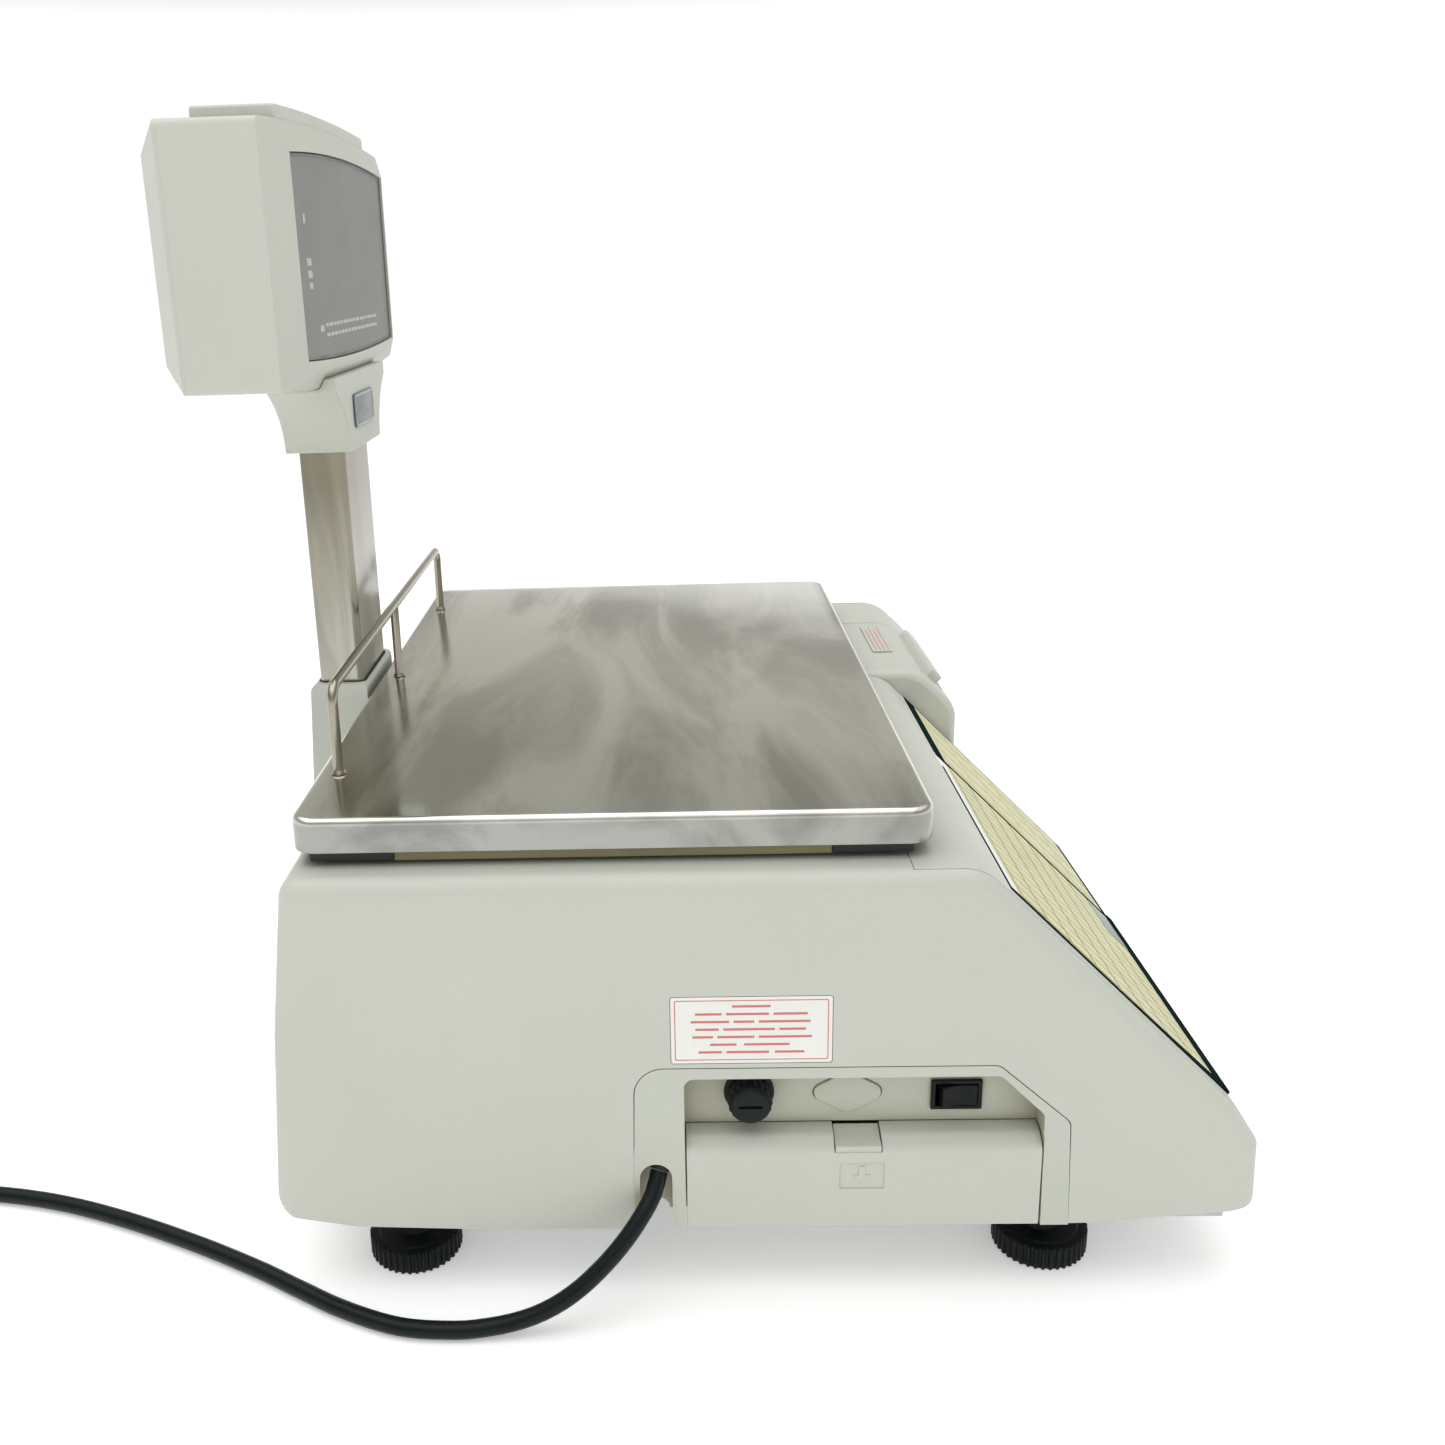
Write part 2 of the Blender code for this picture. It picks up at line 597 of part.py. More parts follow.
def make_power_switch():
    y, z = SWITCH_CENTRE
    case = box("switch_housing", (-0.1946, y - 0.0106, z - 0.0076), (POCKET_X - GAP, y + 0.0106, z + 0.0076), "black_plastic", 0.0004)
    barrel = box("switch_barrel", (-0.1940, y - 0.0093, z - 0.0064), (-0.1780, y + 0.0093, z + 0.0064))
    well = box("rocker_well", (-0.2000, y - 0.0083, z - 0.0054), (-0.1850, y + 0.0083, z + 0.0054))
    add(case, barrel)
    cut(case, well)
    tilt = math.radians(-9)
    points = []
    for out, along in ((0.0060, 0.0070), (0.0046, 0.0), (0.0060, -0.0070), (0.0010, -0.0070),
                       (-0.0025, -0.0025), (-0.0025, 0.0025), (0.0010, 0.0070)):
        turned_out = out * math.cos(tilt) - along * math.sin(tilt)
        turned_along = out * math.sin(tilt) + along * math.cos(tilt)
        points.append((-0.1905 - turned_out, y + turned_along))
    slab("power_rocker", points, "Z", z - 0.0050, z + 0.0050, "black_plastic")


def make_fuse_holder():
    y, z = FUSE_CENTRE
    at = (0.0, y, z)
    turned("fuse_holder", [(0.0100, -0.1933), (0.0075, -0.1933), (0.0075, -0.1650), (0.0038, -0.1650),
           (0.0038, -0.1945), (0.0100, -0.1945)], at, "black_plastic", 24, "X")
    turned("fuse_cartridge", [(0.0, -0.1690), (0.0031, -0.1690), (0.0031, -0.1995), (0.0, -0.1995)],
           at, "glass", 16, "X")
    outline = []
    for k in range(36):
        radius = 0.0088 if k % 3 else 0.0082
        angle = 2 * math.pi * k / 36
        outline.append((y + radius * math.cos(angle), z + radius * math.sin(angle)))
    cap = slab("fuse_cap", outline, "X", -0.2020, -0.1948, "black_plastic")
    nose = disc("fuse_cap_nose", FUSE_CENTRE, "X", 0.0074, -0.2044, -0.2010, sides=24, top_radius=0.0086)
    socket = disc("fuse_socket", FUSE_CENTRE, "X", 0.0034, -0.1998, -0.1900, sides=16)
    add(cap, nose)
    cut(cap, socket)


def make_calibration():
    slab("calibration_cover", diamond(0.0), "X", -0.1938, -0.1912, "housing")
    y, z = CAL_CENTRE
    box("calibration_switch", (-0.1880, y - 0.0030, z - 0.0030), (-0.1840, y + 0.0030, z + 0.0030), "black_plastic", 0.0003)
    board = box("calibration_board", (-0.1820, y - 0.0180, z - 0.0095), (-0.1804, y + 0.0180, z + 0.0095), "circuit_board")
    guide = box("switch_guide", (-0.1860, y - 0.0055, z - 0.0055), (-0.1815, y + 0.0055, z + 0.0055))
    hollow = box("switch_hollow", (-0.1900, y - 0.0034, z - 0.0034), (-0.1824, y + 0.0034, z + 0.0034))
    add(board, guide)
    cut(board, hollow)


def make_interface():
    plate = box("interface_board", (-0.1645, -0.1300, 0.0390), (-0.1625, 0.0060, 0.0700), "circuit_board")
    shells = [((-0.1745, -0.1150, 0.0440), (-0.1640, -0.0840, 0.0565)), ((-0.1775, -0.0700, 0.0430), (-0.1640, -0.0540, 0.0590)),
              ((-0.1775, -0.0450, 0.0430), (-0.1640, -0.0290, 0.0590))]
    for number, (low, high) in enumerate(shells):
        add(plate, box(f"port_{number}", low, high))
        mouth = (low[0] - 0.002, low[1] + 0.002, low[2] + 0.002)
        cut(plate, box(f"port_mouth_{number}", mouth, (low[0] + 0.007, high[1] - 0.002, high[2] - 0.002)))


# ---------------------------------------------------------------- keypads and labels
def make_keypads():
    slope_box("speed_keypad", (-0.1960, -0.0470), (0.0010, 0.1290), (-0.0007, 0.0008), "keypad_film")
    slope_box("function_keypad", (-0.0464, 0.0436), (0.0010, 0.1290), (-0.0007, 0.0008), "keypad_film")
    board = slope_box("keypad_board", (-0.1900, 0.0360), (0.0220, 0.1180), (-0.0120, -0.0104), "circuit_board")
    add(board, slope_box("keypad_connector", (-0.0900, -0.0400), (0.0600, 0.0700), (-0.0200, -0.0110)))


def make_labels():
    box("safety_label", (-HALF_WIDTH, -0.0487, 0.1057), (-HALF_WIDTH + 0.0003, 0.0131, 0.1343), "label")
    box("lid_label", (0.0840, -0.1170, 0.1863), (0.1390, -0.1060, 0.1866), "label")


# ---------------------------------------------------------------- weighing platform
def make_platter():
    length, depth = PLATTER_SIZE
    half_x, half_y = length / 2, depth / 2
    low = PLATTER_Z - PLATTER_SKIRT

    def plan(shrink, radius):
        x, y = half_x - shrink, half_y - shrink
        return rounded([(-x, PLATTER_Y - y, radius), (x, PLATTER_Y - y, radius),
                        (x, PLATTER_Y + y, radius), (-x, PLATTER_Y + y, radius)])

    platter = slab("platter", plan(0.0, 0.010), "Z", low, PLATTER_Z, "stainless")
    bm = bmesh.new()
    bm.from_mesh(platter.data)
    rim = [e for e in bm.edges if all(v.co.z > PLATTER_Z - 1e-6 for v in e.verts) and e.calc_face_angle() > 0.8]
    bmesh.ops.bevel(bm, geom=rim, offset=0.0025, segments=2, profile=0.5, affect="EDGES")
    bm.to_mesh(platter.data)
    bm.free()
    cut(platter, slab("platter_room", plan(SHEET, 0.0088), "Z", low - 0.010, PLATTER_Z - SHEET))


RAIL_Y = 0.1480
RAIL_TOP = PLATTER_Z + 0.0370
RAIL_WIRE = 0.0022


def make_guard_rail():
    """A bent bar with a foot at each end and a post in the middle, standing on the platter."""
    left, right, bend = -0.1415, 0.1370, 0.007
    foot = PLATTER_Z + GAP
    path = [Vector((left, RAIL_Y, foot))]
    for k in range(5):
        angle = math.pi / 2 * k / 4
        path.append(Vector((left + bend - bend * math.cos(angle), RAIL_Y, RAIL_TOP - bend + bend * math.sin(angle))))
    for k in range(5):
        angle = math.pi / 2 * k / 4
        path.append(Vector((right - bend + bend * math.sin(angle), RAIL_Y, RAIL_TOP - bend + bend * math.cos(angle))))
    path.append(Vector((right, RAIL_Y, foot)))
    rail = as_mesh(wire("guard_rail", path, RAIL_WIRE, "stainless"))
    add(rail, disc("rail_post", (-0.0020, RAIL_Y), "Z", RAIL_WIRE * 0.96, foot, RAIL_TOP, sides=8))


def make_weigh_frame():
    """The frame that carries the platter, its cushions, and the load cell that carries the frame."""
    y = PLATTER_Y
    frame = box("weigh_frame", (-0.0600, y - 0.0900, 0.1890), (0.0800, y + 0.0900, 0.1945), "frame_casting")
    rear_bar = box("frame_rear_bar", (-0.1870, y + 0.0830, 0.1862), (0.1870, y + 0.1170, 0.1960))
    front_bar = box("frame_front_bar", (-0.1870, y - 0.1120, 0.1862), (0.1870, y - 0.0840, 0.1960))
    post = box("frame_post", (0.0450, y - 0.0145, 0.1198), (0.0750, y + 0.0145, 0.1900))
    add(frame, rear_bar, front_bar, post)
    for side, along in (("left", -0.172), ("right", 0.172)):
        for end, across in (("front", y - 0.098), ("rear", y + 0.100)):
            turned(f"cushion_{end}_{side}", [(0.0, 0.0062), (0.0070, 0.0062), (0.0090, 0.0045), (0.0095, 0.0), (0.0, 0.0)],
                   (along, across, 0.1963), "rubber", 16)
    cell = box("load_cell", (-0.0750, y - 0.0200, 0.0960), (0.0750, y + 0.0200, 0.1180), "aluminium")
    for x in (-0.018, 0.018):
        cut(cell, disc("cell_bore", (x, 0.1070), "Y", 0.0085, y - 0.030, y + 0.030, sides=24))
    cut(cell, box("cell_slot", (-0.018, y - 0.030, 0.1040), (0.018, y + 0.030, 0.1100)))
    box("load_cell_base", (-0.0750, y - 0.0190, 0.0343), (-0.0400, y + 0.0190, 0.0957), "aluminium", 0.001)


# ---------------------------------------------------------------- electronics in the base
def make_electronics():
    board = box("main_board", (-0.1500, -0.1250, 0.0500), (0.0250, -0.0450, 0.0516), "circuit_board")
    for number, (x, y, wide, deep, high) in enumerate(((-0.120, -0.100, 0.030, 0.030, 0.006), (-0.060, -0.090, 0.036, 0.016, 0.005),
                                                       (-0.010, -0.070, 0.016, 0.020, 0.012), (-0.100, -0.060, 0.040, 0.010, 0.014))):
        add(board, box(f"component_{number}", (x - wide / 2, y - deep / 2, 0.0510), (x + wide / 2, y + deep / 2, 0.0516 + high)))
    core = box("power_transformer", (-0.1550, 0.0700, 0.0343), (-0.0950, 0.0980, 0.0860), "iron")
    add(core, box("transformer_winding", (-0.1430, 0.0600, 0.0450), (-0.1070, 0.1080, 0.0750), None, 0.004))


# ---------------------------------------------------------------- label printer
def make_printer():
    plate = [(-0.1380, 0.0700), (-0.0470, 0.0700), (-0.0470, 0.1740), (-0.1240, 0.1740), (-0.1380, 0.1600)]
    left = slab("printer_chassis", plate, "X", 0.0620, 0.0640, "steel")
    right = slab("chassis_right", plate, "X", 0.1370, 0.1390)
    tie_low = box("chassis_tie_low", (0.0630, -0.1380, 0.0700), (0.1380, -0.0480, 0.0720))
    tie_back = box("chassis_tie_back", (0.0630, -0.0480, 0.1560), (0.1380, -0.0470, 0.1740))
    add(left, right, tie_low, tie_back)
    for shaft, radius in ((PLATEN, 0.0035), (REWIND, 0.0030), (ROLL, 0.0045), (IDLER, 0.0030), (HEAD_PIVOT, 0.0026), (PINION, 0.0090)):
        cut(left, disc("shaft_hole", shaft, "X", radius + 0.0004, 0.050, 0.150, sides=16))

    platen = turned("platen_roller", [(0.0, 0.1480), (0.0030, 0.1480), (0.0030, 0.1340), (0.0070, 0.1340), (0.0070, 0.0680),
                    (0.0030, 0.0680), (0.0030, 0.0600), (0.0, 0.0600)], (0.0, *PLATEN), "rubber", 16, "X")
    gears = (("platen_gear", PLATEN, PLATEN_TEETH, 0.0033, None), ("idler_gear", IDLER, IDLER_TEETH, 0.0, PLATEN),
             ("motor_pinion", PINION, PINION_TEETH, 0.0023, PLATEN))
    platen_phase = math.radians(90)
    phases = {}
    for name, centre, teeth, bore, driver in gears:
        phases[name] = platen_phase if driver is None else mesh_phase(driver, PLATEN_TEETH, platen_phase, centre, teeth)
        gear = slab(name, gear_outline(centre, teeth, phases[name]), "X", GEARS_X, GEARS_X + 0.0045, "gear_plastic")
        if bore:
            cut(gear, disc(name + "_bore", centre, "X", bore, 0.130, 0.160, sides=16))
    add(bpy.data.objects["idler_gear"], disc("idler_stud", IDLER, "X", 0.0026, 0.1300, 0.1420, sides=12))
    rewind = turned("rewind_spool", [(0.0, 0.1460), (0.0026, 0.1460), (0.0026, 0.1350), (0.0100, 0.1350), (0.0100, 0.1338), (0.0060, 0.1338),
                    (0.0060, 0.0682), (0.0100, 0.0682), (0.0100, 0.0670), (0.0026, 0.0670), (0.0026, 0.0605), (0.0, 0.0605)],
                    (0.0, *REWIND), "gear_plastic", 16, "X")
    rewind_phase = mesh_phase(IDLER, IDLER_TEETH, phases["idler_gear"], REWIND, REWIND_TEETH)
    add(rewind, slab("rewind_gear", gear_outline(REWIND, REWIND_TEETH, rewind_phase), "X", GEARS_X, GEARS_X + 0.0045))

    turned("label_spool", [(0.0, 0.1440), (0.0042, 0.1440), (0.0042, 0.1350), (0.0122, 0.1350), (0.0122, 0.0660), (0.0042, 0.0660),
           (0.0042, 0.0590), (0.0, 0.0590)], (0.0, *ROLL), "gear_plastic", 20, "X")
    turned("label_roll", [(0.0370, 0.1310), (0.0370, 0.0700), (0.0126, 0.0700), (0.0126, 0.1310)], (0.0, *ROLL), "paper", 32, "X")

    head = box("thermal_head", (0.0670, -0.1300, 0.1674), (0.1330, -0.1060, 0.1700), "steel")
    add(head, disc("head_shaft", HEAD_PIVOT, "X", 0.0024, 0.0600, 0.1400, sides=12))
    add(head, box("head_lever", (0.0560, HEAD_PIVOT[0] - 0.0180, 0.1665), (0.0606, HEAD_PIVOT[0] + 0.0030, 0.1705)))

    motor = disc("feed_motor", PINION, "X", 0.0165, 0.1500, 0.1780, "steel", 24)
    add(motor, disc("motor_boss", PINION, "X", 0.0050, 0.1465, 0.1510, sides=16))
    add(motor, disc("motor_shaft", PINION, "X", 0.0019, 0.1400, 0.1480, sides=12))
    box("tear_bar", (0.0670, -0.1484, 0.1440), (0.1350, -0.1463, 0.1494), "stainless")


# ---------------------------------------------------------------- pole and display
def make_pole():
    half_x, half_y = POLE_SIZE[0] / 2, POLE_SIZE[1] / 2

    def ring(grow, radius):
        x, y = half_x + grow, half_y + grow
        return rounded([(POLE_X - x, POLE_Y - y, radius), (POLE_X + x, POLE_Y - y, radius),
                        (POLE_X + x, POLE_Y + y, radius), (POLE_X - x, POLE_Y + y, radius)], math.radians(30))

    pole = slab("pole_tube", ring(0.0, 0.0035), "Z", 0.1050, 0.3450, "stainless")
    cut(pole, slab("pole_bore", ring(-0.0015, 0.0020), "Z", 0.1000, 0.3500))

    side = [(0.1597, 0.0620, 0.0), (0.1860, 0.0620, 0.0), (0.1950, 0.0680, 0.0), (0.1925, 0.1300, 0.0),
            (0.1876, 0.2075, 0.004), (0.1597, 0.2075, 0.003)]
    bracket = slab("pole_bracket", rounded(side), "X", POLE_X - 0.0322, POLE_X + 0.0322, "housing")
    edges = [(POLE_X - 0.0322, 0.1560, 0.0), (POLE_X + 0.0322, 0.1560, 0.0), (POLE_X + 0.0322, 0.2050, 0.006), (POLE_X - 0.0322, 0.2050, 0.006)]
    keep(bracket, slab("bracket_plan", rounded(edges), "Z", 0.050, 0.250))
    cut(bracket, slab("bracket_bore", ring(GAP, 0.0038), "Z", 0.1000, 0.2500))


def head_ring(half, low, high, rise, drop, y):
    """The arched outline of the display head in one plane across Y."""
    points = []
    steps = 8
    for k in range(steps + 1):
        share = 2 * k / steps - 1
        points.append(Vector((POLE_X + half * share, y, low - drop * (1 - share * share))))
    for k in range(steps + 1):
        share = 1 - 2 * k / steps
        points.append(Vector((POLE_X + half * share, y, high + rise * (1 - share * share))))
    return points


WINDOW_LOW, WINDOW_HIGH = 0.3675, 0.4490
HEAD_LOW, HEAD_HIGH = 0.3565, 0.4610


def make_head():
    def outer(y):
        return head_ring(HEAD_HALF, HEAD_LOW, HEAD_HIGH, 0.0038, 0.0045, y)

    def framing(y, grow):
        return head_ring(WINDOW_HALF + grow, WINDOW_LOW - grow, WINDOW_HIGH + grow, 0.0035, 0.0025, y)

    def inner(y, shrink=0.0026):
        return head_ring(HEAD_HALF - shrink, HEAD_LOW + shrink, HEAD_HIGH - shrink, 0.0038, 0.0045, y)

    front = loft("display_front_shell", [framing(HEAD_FRONT_Y, 0.0012), outer(0.1640), outer(HEAD_SPLIT_Y)], "housing")
    hump = slab("head_hump", [(p.x, p.z) for p in head_ring(0.0860, 0.4550, 0.4685, 0.0017, 0.0, 0.0)], "Y", 0.1645, 0.1995)
    add(front, hump)
    cut(front, loft("front_room_head", [inner(0.1655), inner(0.2100)]))
    cut(front, loft("front_window_hole", [framing(0.1500, GAP), framing(0.1700, GAP)]))
    neck_hole = box("neck_hole", (POLE_X - 0.0300, 0.1666, 0.3400), (POLE_X + 0.0300, 0.1860, 0.3700))
    cut(front, neck_hole)

    rear = loft("display_rear_shell", [outer(HEAD_SPLIT_Y + GAP), outer(0.2045), framing(HEAD_REAR_Y, 0.0012)], "housing")
    cut(rear, loft("rear_room_head", [inner(0.1950), inner(0.2055)]))
    cut(rear, loft("rear_window_hole", [framing(0.2000, GAP), framing(0.2300, GAP)]))

    loft("operator_window", [framing(0.1590, 0.0), framing(0.1610, 0.0)], "window")
    loft("customer_window", [framing(0.2142, 0.0), framing(0.2162, 0.0)], "window")
    left, right = POLE_X - 0.095, POLE_X + 0.095
    module = box("display_board", (left, 0.1850, 0.3750), (right, 0.1866, 0.4400), "circuit_board")
    for number, (near, far) in enumerate(((0.1720, 0.1855), (0.1860, 0.2000))):
        add(module, box(f"display_tube_{number}", (left + 0.008, near, 0.3850), (right - 0.008, far, 0.4250)))


NECK_FRONT_Y = 0.1565


def make_neck():
    """The flared neck between the pole and the head."""
    outline = [(POLE_X - 0.0340, 0.3215), (POLE_X + 0.0340, 0.3215)]
    flare = [(0.0355, 0.3290), (0.0395, 0.3370), (0.0460, 0.3440), (0.0560, 0.3510)]
    outline += [(POLE_X + x, z) for x, z in flare]
    outline += [(POLE_X + x, head_floor(x) - GAP) for x in (0.0560, 0.0280, 0.0, -0.0280, -0.0560)]
    outline += [(POLE_X - x, z) for x, z in reversed(flare)]
    neck = slab("display_neck", outline, "Y", NECK_FRONT_Y, 0.1880, "housing")
    brow = [(NECK_FRONT_Y, 0.3500), (0.1650, 0.3500), (0.1650, 0.3512), (0.1638, 0.3517),
            (0.1608, 0.3572), (0.1585, 0.3580), (NECK_FRONT_Y, 0.3566)]
    add(neck, slab("neck_brow", brow, "X", POLE_X - 0.0543, POLE_X + 0.0543))
    bore = [(POLE_X - 0.0283, POLE_Y - 0.0113), (POLE_X + 0.0283, POLE_Y - 0.0113),
            (POLE_X + 0.0283, POLE_Y + 0.0113), (POLE_X - 0.0283, POLE_Y + 0.0113)]
    cut(neck, slab("neck_bore", bore, "Z", 0.3100, 0.3453))
    cut(neck, box("neck_cable_way", (POLE_X - 0.0100, 0.1660, 0.3400), (POLE_X + 0.0100, 0.1800, 0.3600)))
    box("badge_plate", (POLE_X - 0.0240, NECK_FRONT_Y - 0.0011, 0.3315), (POLE_X + 0.0180, NECK_FRONT_Y - GAP, 0.3470), "badge")


def head_floor(x):
    """Height of the head's arched underside at a distance x from its middle."""
    share = x / HEAD_HALF
    return HEAD_LOW - 0.0045 * (1 - share * share)


# ---------------------------------------------------------------- feet
def make_feet():
    for side, x in (("left", -FOOT_X), ("right", FOOT_X)):
        for end, y in (("front", FOOT_FRONT_Y), ("rear", FOOT_REAR_Y)):
            outline = []
            for k in range(48):
                radius = FOOT_RADIUS if k % 2 else FOOT_RADIUS - 0.0007
                angle = 2 * math.pi * k / 48
                outline.append((x + radius * math.cos(angle), y + radius * math.sin(angle)))
            foot = slab(f"foot_{end}_{side}", outline, "Z", 0.0, 0.0100, "rubber")
            add(foot, disc(f"stem_{end}_{side}", (x, y), "Z", 0.0050, 0.0090, 0.0420, sides=12))


# ---------------------------------------------------------------- mains cord
CORD_ROUTE = [  # X, Y, Z from just past the strain relief to the coil
    (-0.2122, 0.0259, 0.0421),
    (-0.2163, 0.0310, 0.0363),
    (-0.2200, 0.0370, 0.0303),
    (-0.2232, 0.0437, 0.0245),
    (-0.2258, 0.0508, 0.0190),
    (-0.2276, 0.0588, 0.0138),
    (-0.2286, 0.0675, 0.0094),
    (-0.2292, 0.0770, 0.0062),
    (-0.2300, 0.0880, 0.0044),
    (-0.2306, 0.1010, 0.0037),
    (-0.2284, 0.1230, 0.0037),
    (-0.2190, 0.1470, 0.0037),
    (-0.2075, 0.1676, 0.0037),
    (-0.1957, 0.1880, 0.0037),
    (-0.1800, 0.2190, 0.0037),
    (-0.1635, 0.2570, 0.0037),
    (-0.1520, 0.2910, 0.0037),
    (-0.1455, 0.3240, 0.0037),
    (-0.1440, 0.3560, 0.0037),
    (-0.1440, 0.3870, 0.0037),
]


def smooth_path(points, spacing):
    """Points at equal spacing along the Catmull-Rom curve through the given points."""
    anchors = [Vector(p) for p in points]
    anchors = [2 * anchors[0] - anchors[1], *anchors, 2 * anchors[-1] - anchors[-2]]
    dense = []
    for before, start, end, after in zip(anchors, anchors[1:], anchors[2:], anchors[3:]):
        for k in range(16):
            t = k / 16
            dense.append(0.5 * (2 * start + (end - before) * t + (2 * before - 5 * start + 4 * end - after) * t**2
                         + (3 * start - before - 3 * end + after) * t**3))
    dense.append(anchors[-2])
    travelled = [0.0]
    for start, end in zip(dense, dense[1:]):
        travelled.append(travelled[-1] + (end - start).length)
    count = round(travelled[-1] / spacing)
    path = []
    at = 0
    for k in range(count + 1):
        wanted = travelled[-1] * k / count
        while at < len(travelled) - 2 and travelled[at + 1] < wanted:
            at += 1
        share = (wanted - travelled[at]) / (travelled[at + 1] - travelled[at])
        path.append(dense[at].lerp(dense[at + 1], min(share, 1.0)))
    return path


def make_cord():
    relief = turned("strain_relief", [(0.0, 0.0265), (0.0046, 0.0265), (0.0046, 0.0070), (0.0039, 0.0), (0.0, 0.0)],
                    (0.0, 0.0, 0.0), "rubber", 16)
    relief.matrix_world = along_cord(CORD_EXIT, -CORD_HEADING)
    straight = [CORD_EXIT + CORD_HEADING * 0.0004, CORD_EXIT + CORD_HEADING * 0.0095]
    wire("mains_cord", smooth_path(straight + CORD_ROUTE, 0.0090), CORD_RADIUS, "cord", 2)
    inner, outer = COIL_MIDDLE - 2 * CORD_RADIUS, COIL_MIDDLE + 2 * CORD_RADIUS
    coil = turned("coil_ring", [(outer, COIL_HEIGHT), (outer, 0.0002), (inner, 0.0002), (inner, COIL_HEIGHT)], COIL_CENTRE, None, 32)
    tail = [COIL_CENTRE + Vector(p) for p in TAIL_ROUTE]
    add(settled("cord_coil", coil, "cord"), as_mesh(wire("cord_tail", smooth_path(tail, 0.0090), CORD_RADIUS, None, 2)))
    plug_end = tail[-1]
    body = turned("mains_plug", [(0.0, 0.0570), (0.0100, 0.0570), (0.0120, 0.0550), (0.0120, 0.0350), (0.0085, 0.0280),
                  (0.0060, 0.0230), (0.0045, 0.0003), (0.0, 0.0003)], plug_end, "black_plastic", 20)
    heading = (tail[-1] - tail[-2]).normalized()
    body.matrix_world = along_cord(plug_end, heading)
    for number, (across, up) in enumerate(((-0.0063, 0.0), (0.0063, 0.0))):
        blade = box(f"plug_blade_{number}", (across - 0.00075, up - 0.0032, 0.0560), (across + 0.00075, up + 0.0032, 0.0740))
        blade.matrix_world = body.matrix_world
        add(body, blade)


TAIL_ROUTE = [  # X, Y, Z from the coil's middle, off its top turn to the plug
    (-0.0322, 0.0270, 0.0175),
    (-0.0255, 0.0345, 0.0172),
    (-0.0170, 0.0430, 0.0160),
    (-0.0050, 0.0505, 0.0142),
    (0.0080, 0.0555, 0.0130),
    (0.0220, 0.0580, 0.0126),
    (0.0360, 0.0585, 0.0126),
]


def main():
    make_housing()
    make_base_pan()
    make_side_panel()
    make_compartment_cover()
    make_power_switch()
    make_fuse_holder()
    make_calibration()
    make_interface()
    make_keypads()
    make_labels()
    make_platter()
    make_guard_rail()
    make_weigh_frame()
    make_electronics()
    make_printer()
    make_pole()
    make_head()
    make_neck()
    make_feet()
    make_cord()
    for obj in PARTS.objects:
        if obj.type == "MESH" and obj.data.polygons:
            obj.data.shade_smooth()
            obj.data.set_sharp_from_angle(angle=math.radians(32))


main()
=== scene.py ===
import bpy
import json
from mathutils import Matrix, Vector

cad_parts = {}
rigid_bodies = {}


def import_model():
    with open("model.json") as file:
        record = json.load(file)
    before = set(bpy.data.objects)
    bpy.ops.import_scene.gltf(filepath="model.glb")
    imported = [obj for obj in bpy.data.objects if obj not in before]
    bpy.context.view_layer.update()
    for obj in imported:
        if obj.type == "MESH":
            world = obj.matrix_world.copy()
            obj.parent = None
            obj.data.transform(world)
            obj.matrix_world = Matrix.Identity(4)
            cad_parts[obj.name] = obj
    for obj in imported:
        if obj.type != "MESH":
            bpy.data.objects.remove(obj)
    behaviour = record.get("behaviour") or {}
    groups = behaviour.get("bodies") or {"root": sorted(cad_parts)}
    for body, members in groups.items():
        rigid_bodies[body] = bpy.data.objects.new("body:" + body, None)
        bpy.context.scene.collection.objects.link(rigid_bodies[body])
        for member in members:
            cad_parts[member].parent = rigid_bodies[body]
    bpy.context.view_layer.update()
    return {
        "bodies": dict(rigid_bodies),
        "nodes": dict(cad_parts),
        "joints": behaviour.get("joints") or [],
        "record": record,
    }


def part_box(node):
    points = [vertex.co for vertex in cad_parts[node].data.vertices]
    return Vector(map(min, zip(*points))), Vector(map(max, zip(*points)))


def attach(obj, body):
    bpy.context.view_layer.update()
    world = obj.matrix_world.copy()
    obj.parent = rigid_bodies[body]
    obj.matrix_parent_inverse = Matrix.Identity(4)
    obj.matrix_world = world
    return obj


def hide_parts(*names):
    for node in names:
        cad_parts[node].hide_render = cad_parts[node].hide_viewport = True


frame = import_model()

import json
import math

import bmesh
import bpy
from mathutils import Matrix, Vector

# Dimensions that the CAD part drives, metres
HALF_WIDTH = -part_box("side_panel")[0].x
WALL = 0.003
GAP = 0.0003
TOP_Z = 0.184
BASE_Z = 0.03
BASE_EDGE_Z = 0.0395
REAR_TOP_Y = 0.16
SEAM_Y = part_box("front_fascia")[1].y
SIDE_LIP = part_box("front_fascia")[1].x
SLOPE_TOP = Vector((0.0, -0.1145, 0.174))
SLOPE_TILT = math.radians(45.3)
BAY_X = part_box("printer_cover")[0].x
BAY_FRONT_Y = -0.146
BAY_FLOOR_Z = 0.07
PRINTER_TOP_Z = 0.186
PLATTER_Y = 0.0345
PLATTER_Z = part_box("platter")[1].z
POLE_X = 0.006
POLE_Y = 0.173
POLE_SIZE = (0.056, 0.022)
HEAD_HALF = 0.118
WINDOW_HALF = 0.0945
HEAD_FRONT_Y = 0.1577
HEAD_SHOULDER_Y = 0.164
HEAD_SPLIT_Y = 0.203
HEAD_REAR_Y = 0.2175
HEAD_CORNER = 0.0035
HEAD_LOW, HEAD_HIGH = 0.3565, 0.461
WINDOW_LOW, WINDOW_HIGH = 0.3675, 0.449
PANEL_X = -HALF_WIDTH
POCKET_X = -0.193
SWITCH_CENTRE = (-0.0995, 0.0833)
FUSE_CENTRE = (-0.0175, 0.0853)
CAL_CENTRE = (-0.0565, 0.0845)
